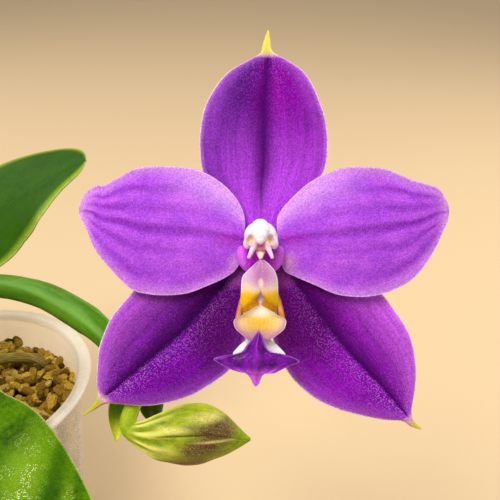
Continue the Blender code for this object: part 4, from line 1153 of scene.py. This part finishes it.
BRACT_WIDTHS = [(0.0, 0.85), (0.25, 1.0), (0.5, 0.92), (0.75, 0.62), (0.92, 0.28), (1.0, 0.06)]
BRACT_ROWS = 36
BRACT_COLUMNS = 20
BRACT_BASE = (-25.4, -27.0, -9.6)
BRACT_TIP = (-26.0, -37.0, -7.4)
TIP_ROWS = 60
TIP_BUD = [(-20.6, -28.2, -11.3), (-20.0, -29.7, -11.8), (-19.6, -32.0, -11.9), (-19.2, -34.2, -12.0)]
TIP_BUD_RADII = [(0.0, 1.1), (0.25, 2.1), (0.45, 2.4), (0.65, 2.2), (0.85, 1.5), (1.0, 0.3)]


def bloom_path(points, count):
    """A smooth path through points of the flower's frame."""
    return from_bloom(*curve(points, count).T)


def turn_from(angle, degrees):
    """How far an angle is from another one, on either side."""
    return (angle - math.radians(degrees) + math.pi) % math.tau - math.pi


def make_bud():
    """The closed bud: folded sepals with seams, ribs at its base, and a bent tip."""
    path = curve(BUD_SECTIONS, BUD_ROWS)
    share = np.linspace(0.0, 1.0, BUD_ROWS + 1)[:, None]
    angle = (np.arange(BUD_SIDES) * math.tau / BUD_SIDES)[None, :]
    ribs = np.cos(BUD_RIBS * angle + 0.4 + 0.5 * np.sin(3.0 * angle))
    ribs = ribs * ease(0.62, 0.14, share) * ease(0.0, 0.1, share)
    fine_ribs = np.cos(BUD_FINE_RIBS * angle) * np.sin(math.pi * share)
    seam_length = ease(0.1, 0.35, share) * ease(1.02, 0.92, share)
    fold = 0.0
    swell = 1.0
    for place, step in BUD_SEAMS:
        off = turn_from(angle - 0.2 * (share - 0.5), place)
        fold = np.maximum(fold, bell(off, 0.045) * seam_length)
        swell = swell + step * bell(off, 0.6) * (off < 0.0) * seam_length
    swell = swell + 0.035 * bell(turn_from(angle, BUD_CREST), 0.1) * bell(share - 0.48, 0.22)
    half = np.clip(path[:, 2:3], 0.05, None) * (swell + 0.07 * ribs + 0.006 * fine_ribs - 0.055 * fold)
    y = path[:, 1:2] + half * np.cos(angle)
    z = BUD_DEPTH + half * 0.92 * np.sin(angle)
    rings = from_bloom(path[:, :1], y, z)
    make_skin("bud_folded", rings, make_bud_finish(), "bud_green", ["bud"], gather(share, fold, ribs))


def make_stalks():
    """The arching spike, the two flower stalks and the spike's growing tip."""
    green = make_stalk_finish("spike_green", (44, 92, 0), (92, 146, 8), (140, 192, 96), 0.68)
    fresh = make_stalk_finish("stalk_fresh", (120, 150, 8), (172, 186, 30), (224, 226, 116), 0.2)
    # Painted shade: the stalk paint in darker greens, for the tip bud that lies behind the bud.
    shade = make_stalk_finish("tip_green_shaded", (42, 58, 4), (76, 96, 10), (104, 124, 34), 0.6)
    for name, path, radii, sides, finish, slot, node, rough in (
            ("flower_spike_arch", curve(SPIKE, SPIKE_ROWS), SPIKE_RADII, 40, green,
             "spike_green", "flower_spike", 0.012),
            ("pedicel_stalk", bloom_path(PEDICEL, STALK_ROWS), PEDICEL_RADII, 28, green,
             "spike_green", "pedicel", 0.015),
            ("bud_stalk_hook", bloom_path(BUD_STALK, STALK_ROWS), BUD_STALK_RADII, 32, fresh,
             "bract_green", "bud_stalk", 0.012),
            ("tip_bud_scales", bloom_path(TIP_BUD, TIP_ROWS), TIP_BUD_RADII, 28, shade,
             "stem_green", "tip_bud", 0.03)):
        radii = smooth_table(radii, np.linspace(0.0, 1.0, len(path)))
        make_tube(name, path, radii, sides, finish, slot, [node], rough)


def make_bract():
    """The small scale beside the bud's stalk."""
    base = from_bloom(*BRACT_BASE)
    along = from_bloom(*BRACT_TIP) - base
    out = np.array((-0.6, 0.0, 0.0)) - BLOOM_OUT * 0.8
    right = unit(np.cross(along, out))
    out = unit(np.cross(right, along))
    share = np.linspace(0.0, 1.0, BRACT_ROWS + 1)[:, None]
    across = np.linspace(-1.0, 1.0, BRACT_COLUMNS + 1)[None, :]
    half = BRACT_HALF_WIDTH * smooth_table(BRACT_WIDTHS, share[:, 0])[:, None]
    bulge = 0.16 * np.linalg.norm(along) * np.sin(math.pi * share)
    sink = bulge - half * 0.7 * across ** 2
    front = (base + share[..., None] * along + (across * half)[..., None] * right
             + sink[..., None] * out)
    thickness = 0.12 + 0.4 * (1.0 - across ** 4) * (1.0 - share ** 4)
    back = front - thickness[..., None] * out
    blade = gather(across, share, (1.0 - np.abs(across)) * half)
    make_sheet("bud_bract_scale", front, back, make_bract_finish(), "bract_green", ["bud_bract"], blade)


# Leaves, stem and roots

# Each leaf's midrib from the stem to its tip, half width, fold, and its share of the belly on one side

LEAVES = {
    "leaf_1": ([(-7.2, -1.0, 77.5), (-1.5, -13, 82), (7, -31, 84.5), (17.5, -54, 85), (28, -77, 83),
                (38.5, -99, 78), (47, -117, 71), (53, -130, 64)], 32.0, 0.16, 0.0),
    "leaf_2": ([(-9.3, 12.4, 90.5), (-5, 24, 101.5), (4, 37, 113.5), (18, 45, 124), (36, 48.2, 132)],
               28.0, 0.22, 1.0),
    "leaf_3": ([(-16.1, 8.2, 85.5), (-29.5, 15.5, 92), (-54, 28.5, 99), (-80.5, 42.5, 99),
                (-102.5, 54, 91), (-117.5, 62, 80)], 35.0, 0.20, 0.0),
    "leaf_4": ([(-15.2, 0.7, 80.0), (-27, -9, 84), (-48.5, -27, 87), (-70, -45, 83),
                (-86.5, -59.5, 73), (-96, -67, 64)], 32.0, 0.22, 0.0),
    "leaf_5": ([(-10.2, 5.0, 98.8), (-12.5, 4.5, 106), (-18, 3, 120), (-27, 0, 133)],
               13.0, 0.45, 0.0),
}
LEAF_WIDTHS = [(0.0, 0.17), (0.08, 0.29), (0.2, 0.48), (0.3, 0.74), (0.4, 0.89), (0.55, 1.0), (0.7, 0.97),
               (0.84, 0.77), (0.93, 0.5), (0.98, 0.26), (1.0, 0.04)]
LEAF_BELLY = [(0.0, 0.0), (0.45, 0.0), (0.55, 1.2), (0.65, 3.6), (0.74, 5.6), (0.8, 5.2), (0.85, 2.0),
              (0.9, -1.6), (0.95, -2.4), (1.0, 0.0)]
LEAF_ROWS = 120
LEAF_COLUMNS = 44
LEAF_ROOTING = 0.9
LEAF_STEADY = 14


def make_leaf(name, material):
    """One thick channelled leaf, rooted in the stem, with a sunken midrib and a keel beneath."""
    midrib, half_width, fold, belly = LEAVES[name]
    path = curve(midrib, LEAF_ROWS)
    along = unit(np.gradient(path, axis=0))
    right = steady(np.cross(along, (0.0, 0.0, 1.0)), LEAF_STEADY)
    up = unit(np.cross(right, along))
    share = np.linspace(0.0, 1.0, LEAF_ROWS + 1)[:, None]
    across = np.sin(np.linspace(-1.0, 1.0, LEAF_COLUMNS + 1) * math.pi / 2.0)[None, :]
    width = half_width * smooth_table(LEAF_WIDTHS, share[:, 0])[:, None]
    trough = fold * (1.0 + 2.5 * (1.0 - share) ** 4)
    lift = width * (trough * np.abs(across) ** 1.3 - 0.22 * share * np.abs(across) ** 3)
    lift = lift - 0.55 * bell(across, 0.07) * (1.0 - 0.8 * share)
    bulge = belly * smooth_table(LEAF_BELLY, share[:, 0])[:, None]
    sideways = across * width + bulge * np.clip(across, 0.0, 1.0) ** 2
    sink = (1.0 - ease(0.0, 0.03, share)) * LEAF_ROOTING
    front = (path[:, None, :] + sideways[..., None] * right[:, None, :] + lift[..., None] * up[:, None, :]
             - sink[..., None] * along[:, None, :])
    wave = 0.3 * ripple(front, 46.0, len(midrib)) * ease(0.2, 1.0, np.abs(across)) * ease(0.1, 0.4, share)
    front = front + wave[..., None] * up[:, None, :]
    depth = 0.45 + 1.5 * (1.0 - across ** 2) * (1.0 - 0.4 * share) + 0.5 * bell(across, 0.06) * (1.0 - share)
    depth = depth * (1.0 - 0.7 * ease(0.94, 1.0, share))
    back = front - depth[..., None] * up[:, None, :]
    blade = gather(across, share, (1.0 - np.abs(across)) * width)
    make_sheet(name + "_blade", front, back, material, "leaf_green", [name], blade)


def make_stem():
    """The short stem, ringed by old leaf sheaths."""
    share = np.linspace(0.0, 1.0, STEM_ROWS)
    path = gather(STEM_X, STEM_Y, np.linspace(STEM_FOOT, STEM_TOP, STEM_ROWS))
    widths = [(0.0, 3.5), (0.17, 5.2), (0.42, STEM_RADIUS), (0.87, STEM_RADIUS), (1.0, 2.6)]
    steps = (np.linspace(0.0, SHEATH_COUNT, STEM_ROWS) % 1.0) * SHEATH_STEP
    radii = smooth_table(widths, share) - SHEATH_SINK + steps
    make_tube("stem_sheathed", path, radii, 48, make_stem_finish(), "stem_green", ["stem"], 0.02)


# Each root's places seen from above, which lie at the root heights in turn

ROOTS = {
    "root_1": [(2, 0), (13, -6), (22, -10), (27, -9)],
    "root_2": [(-6, -6), (-1, -17), (6, -23), (13, -26)],
    "root_3": [(-14, -5), (-18, -13), (-19, -20), (-15, -25)],
    "root_4": [(-19, 2), (-24, -1), (-27, -5), (-27, -10)],
    "root_5": [(-14, 14), (-17, 19), (-17, 23), (-12, 26)],
    "root_6": [(-2, 11), (9, 17), (18, 19), (23, 16)],
}
ROOT_HEIGHTS = (70.5, 70.0, 66.0, 56.0)
ROOT_START = 71.0
ROOT_SINK = 0.8
ROOT_ROWS = 100
ROOT_RADII = [(0.0, 0.9), (0.15, 1.0), (0.85, 0.98), (1.0, 0.5)]


def make_roots():
    """Thick roots from the stem's foot, over the chips and down into them."""
    finish = make_root_finish()
    for number, (name, places) in enumerate(ROOTS.items()):
        first = (STEM_RADIUS - ROOT_SINK) * unit(np.array(places[0], float) - (STEM_X, STEM_Y))
        points = [(STEM_X + first[0], STEM_Y + first[1], ROOT_START)]
        points += [(x, y, height) for (x, y), height in zip(places, ROOT_HEIGHTS)]
        share = np.linspace(0.0, 1.0, ROOT_ROWS + 1)
        uneven = 1.0 + 0.05 * np.sin(share * 31.0 + number) + 0.03 * np.sin(share * 67.0)
        radii = ROOT_RADIUS * smooth_table(ROOT_RADII, share) * uneven
        make_tube(name + "_skin", curve(points, ROOT_ROWS), radii, 28, finish, "root_green", [name], 0.04)


# Pot and bark

def wall_radius(height):
    """Outer radius of the pot's wall at a height."""
    return POT_FOOT_RADIUS + (POT_TOP_RADIUS - POT_FOOT_RADIUS) * height / POT_HEIGHT


def turned_mesh(outline, sides):
    """Points and faces of a turned solid from (radius, height) pairs, from the axis to the axis."""
    points = []
    rows = []
    for radius, height in outline:
        if radius == 0.0:
            rows.append([len(points)] * sides)
            points.append((0.0, 0.0, height))
            continue
        rows.append(list(range(len(points), len(points) + sides)))
        for side in range(sides):
            angle = math.tau * side / sides
            points.append((radius * math.cos(angle), radius * math.sin(angle), height))
    faces = []
    for low, high in zip(rows, rows[1:]):
        for side in range(sides):
            after = (side + 1) % sides
            face = tuple(dict.fromkeys((low[side], low[after], high[after], high[side])))
            if len(face) > 2:
                faces.append(face)
    return points, faces


def make_pot():
    """Thin tapered pot with a rounded lip, two moulding rings, and drain holes in its floor."""
    wall = wall_radius
    lip = POT_LIP_RADIUS
    top = POT_HEIGHT
    outline = [(0.0, 0.0), (POT_FOOT_RADIUS - 1.6, 0.0), (POT_FOOT_RADIUS - 0.7, 0.2), (wall(0.8), 0.8),
               (wall(1.6), 1.6), (wall(8.0), 8.0), (wall(8.4) + 0.25, 8.4), (wall(9.0) + 0.25, 9.0),
               (wall(9.4), 9.4), (wall(top - 2.4), top - 2.4), (wall(top - 2.0) + 0.5, top - 1.9),
               (lip - 0.7, top - 1.5), (lip - 0.15, top - 1.2), (lip, top - 0.8), (lip - 0.15, top - 0.35),
               (lip - 0.6, top - 0.05), (lip - 1.2, top), (POT_TOP_RADIUS + 0.4, top - 0.1),
               (POT_TOP_RADIUS - 0.5, top - 0.4), (wall(top) - POT_WALL, top - 1.2),
               (wall(2.4) - POT_WALL, 2.4), (wall(POT_FLOOR) - POT_WALL - 1.0, POT_FLOOR),
               (0.0, POT_FLOOR)]
    points, faces = turned_mesh(outline, POT_SIDES)
    mesh = bpy.data.meshes.new("pot_draft")
    mesh.from_pydata([Vector(point) * METRES for point in points], [], faces)
    draft = add_object("pot_draft", mesh)
    work = bmesh.new()
    for hole in range(DRAIN_COUNT):
        angle = math.tau * hole / DRAIN_COUNT
        centre = Vector((DRAIN_RING * math.cos(angle), DRAIN_RING * math.sin(angle), 0.0)) * METRES
        bmesh.ops.create_cone(work, cap_ends=True, segments=DRAIN_SIDES, radius1=DRAIN_RADIUS * METRES,
                              radius2=DRAIN_RADIUS * METRES, depth=DRAIN_CUT * METRES,
                              matrix=Matrix.Translation(centre))
    cutter_mesh = bpy.data.meshes.new("drain_cutter")
    work.to_mesh(cutter_mesh)
    work.free()
    cutter = add_object("drain_cutter", cutter_mesh)
    cut = draft.modifiers.new("drains", "BOOLEAN")
    cut.operation = "DIFFERENCE"
    cut.object = cutter
    points, faces = take_shape(draft)
    bpy.data.objects.remove(cutter)
    points = points / METRES
    pot = make_piece("pot_clear", points, faces, make_pot_finish(), "clear_plastic", ["pot"],
                     {"height": points[:, 2]})
    pot.data.set_sharp_from_angle(angle=SHARP_ANGLE)


CORE_SIDES = 64
CORE_RINGS = 12
CORE_GAP = POT_WALL + 2.6
CORE_FOOT = POT_FLOOR + 0.4
TOP_CHIPS = 820
TOP_CHIP_GAP = 2.6
TOP_CHIP_RISE = 2.0
WALL_CHIPS = 720
WALL_CHIP_GAP = 1.9
CHIP_CLEARANCE = 0.25
CHIP_FOOT = POT_FLOOR + 0.3
CHIP_SEED = 11
CHIP_TURN = math.radians(137.508)
CHIP_LEAN = 0.9
CHIP_SIDES = 6
CHIP_RINGS = [(-0.5, 0.62), (-0.34, 0.96), (0.32, 1.0), (0.5, 0.58)]


def chip_points(draw, centre, length, width, depth):
    """The corners of one bark chip: four uneven rings along it, each at a place and with a swell."""
    turn = draw.uniform(0.0, math.tau)
    lean = draw.uniform(-CHIP_LEAN, CHIP_LEAN)
    tilt = (draw.uniform(-CHIP_LEAN, CHIP_LEAN), draw.uniform(-CHIP_LEAN, CHIP_LEAN), 1.0)
    along = unit(np.array((math.cos(turn), math.sin(turn), lean)))
    across = unit(np.cross(along, tilt))
    up = np.cross(along, across)
    corners = []
    for place, swell in CHIP_RINGS:
        for side in range(CHIP_SIDES):
            angle = math.tau * (side + draw.uniform(-0.22, 0.22)) / CHIP_SIDES
            reach = 0.5 * swell * draw.uniform(0.78, 1.08)
            corners.append(centre + along * length * (place + draw.uniform(-0.05, 0.05))
                           + across * width * reach * math.cos(angle) + up * depth * reach * math.sin(angle))
    return corners


def chip_faces(first):
    """The faces of one chip, whose corners start at first."""
    last = first + (len(CHIP_RINGS) - 1) * CHIP_SIDES
    ends = [tuple(range(first + CHIP_SIDES - 1, first - 1, -1)), tuple(range(last, last + CHIP_SIDES))]
    return ring_faces(first, len(CHIP_RINGS), CHIP_SIDES) + ends


def make_bark():
    """Bark chips, heaped on the top and packed against the wall, round a core painted dark as the shade in
    the gaps.
    """
    outline = [(0.0, CORE_FOOT), (wall_radius(3.0) - CORE_GAP, CORE_FOOT)]
    outline += [(wall_radius(height) - CORE_GAP, height)
                for height in np.linspace(6.0, MIX_TOP - 1.0, CORE_RINGS)]
    outline.append((0.0, MIX_TOP + 0.5))
    # The core is painted near-black as painted shade between the chips.
    make_piece("bark_core", *turned_mesh(outline, CORE_SIDES), make_core_finish(), "bark", ["bark_mix"])
    draw = random.Random(CHIP_SEED)
    corners = []
    faces = []
    tones = []
    for index in range(TOP_CHIPS + WALL_CHIPS):
        angle = index * CHIP_TURN
        if index < TOP_CHIPS:
            radius = (wall_radius(MIX_TOP) - TOP_CHIP_GAP) * math.sqrt((index + 0.5) / TOP_CHIPS)
            x, y = radius * math.cos(angle), radius * math.sin(angle)
            heap = 1.5 * math.sin(x * 0.21 + 1.0) * math.cos(y * 0.19) + 0.8 * math.sin(x * 0.5 - y * 0.43)
            centre = np.array((x, y, MIX_TOP + TOP_CHIP_RISE + heap + draw.uniform(-1.6, 1.7)))
            length = draw.uniform(2.6, 5.4)
        else:
            height = draw.uniform(4.0, MIX_TOP)
            radius = wall_radius(height) - POT_WALL - WALL_CHIP_GAP
            centre = np.array((radius * math.cos(angle), radius * math.sin(angle), height))
            length = draw.uniform(4.0, 8.0)
        width = length * draw.uniform(0.6, 0.85)
        depth = length * draw.uniform(0.4, 0.65)
        faces += chip_faces(len(corners))
        corners += chip_points(draw, centre, length, width, depth)
        tones += [draw.random()] * len(CHIP_RINGS) * CHIP_SIDES
    corners = np.array(corners)
    reach = np.linalg.norm(corners[:, :2], axis=1)
    limit = wall_radius(corners[:, 2]) - POT_WALL - CHIP_CLEARANCE
    corners[:, :2] *= np.minimum(1.0, limit / np.maximum(reach, 1e-6))[:, None]
    corners[:, 2] = np.maximum(corners[:, 2], CHIP_FOOT)
    chips = make_piece("bark_chips", corners, faces, make_bark_finish(), "bark", ["bark_mix"],
                       {"chip": np.array(tones)})
    chips.data.polygons.foreach_set("use_smooth", [False] * len(chips.data.polygons))


# Studio

def make_light(name, place, target, size, power, tint):
    """A soft square light aimed at a point, all in metres."""
    lamp = bpy.data.lights.new(name, "AREA")
    lamp.size = size
    lamp.energy = power
    lamp.color = tint
    holder = add_object(name, lamp)
    holder.location = place
    holder.rotation_euler = (Vector(target) - Vector(place)).to_track_quat("-Z", "Y").to_euler()


def make_floor():
    """A plain pale floor."""
    mesh = bpy.data.meshes.new("floor")
    corners = [(x * FLOOR_HALF, y * FLOOR_HALF, 0.0) for x, y in ((-1, -1), (1, -1), (1, 1), (-1, 1))]
    mesh.from_pydata(corners, [], [(0, 1, 2, 3)])
    finish = Finish("floor_cream", roughness=0.85, gloss=0.1)
    noise = finish.add("TexNoise")
    noise.inputs["Scale"].default_value = FLOOR_CLOUDS
    paint = finish.mix(noise.outputs[0], (214, 188, 150), (222, 198, 162))
    finish.feed(finish.shader["Base Color"], paint)
    mesh.materials.append(finish.material)
    add_object("floor", mesh)


def make_studio():
    """Floor, warm soft lights, a pale surround and the camera."""
    make_floor()
    scene = bpy.context.scene
    bloom = BLOOM_CENTRE * METRES
    make_light("key", (-0.15, -0.30, 0.80), bloom, 0.36, 5.0, (1.0, 0.96, 0.90))
    make_light("back_right", (0.62, 0.30, 0.55), bloom, 0.25, 3.0, (1.0, 0.93, 0.82))
    make_light("back_left", (-0.50, 0.45, 0.60), bloom, 0.30, 2.2, (1.0, 0.95, 0.88))
    world = bpy.data.worlds.new("surround")
    scene.world = world
    world.use_nodes = True
    surround = world.node_tree.nodes["Background"]
    surround.inputs[0].default_value = (1.0, 0.96, 0.92, 1.0)
    surround.inputs[1].default_value = 0.5
    lens = bpy.data.cameras.new("camera")
    camera = add_object("camera", lens)
    camera.location = (BLOOM_CENTRE + BLOOM_OUT * CAMERA_DISTANCE) * METRES
    camera.rotation_euler = (math.radians(90.0) - BLOOM_TILT, 0.0, 0.0)
    lens.sensor_width = SENSOR_WIDTH
    lens.lens = CAMERA_FOCUS_PIXELS / PICTURE_PIXELS * SENSOR_WIDTH
    lens.clip_start = 0.01
    scene.camera = camera
    scene.view_settings.view_transform = "Standard"


def make_plant():
    """Every piece of the part."""
    for make_group in (make_cell_sparkle, make_vein_lines, make_soft_patch, make_cloud, make_margin_band):
        make_group()
    make_pot()
    make_bark()
    make_stem()
    make_roots()
    leaf = make_leaf_finish()
    for name in LEAVES:
        make_leaf(name, leaf)
    make_stalks()
    make_bract()
    make_bud()
    make_sepals_and_petals()
    make_column()
    make_foot()
    make_lip()


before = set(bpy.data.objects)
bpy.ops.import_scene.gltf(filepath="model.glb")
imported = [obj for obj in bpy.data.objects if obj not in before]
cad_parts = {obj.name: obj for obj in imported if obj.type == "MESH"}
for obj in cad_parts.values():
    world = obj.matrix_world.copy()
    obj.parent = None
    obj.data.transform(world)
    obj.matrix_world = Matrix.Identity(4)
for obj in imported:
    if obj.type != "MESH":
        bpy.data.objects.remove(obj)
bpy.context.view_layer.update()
make_studio()
make_plant()
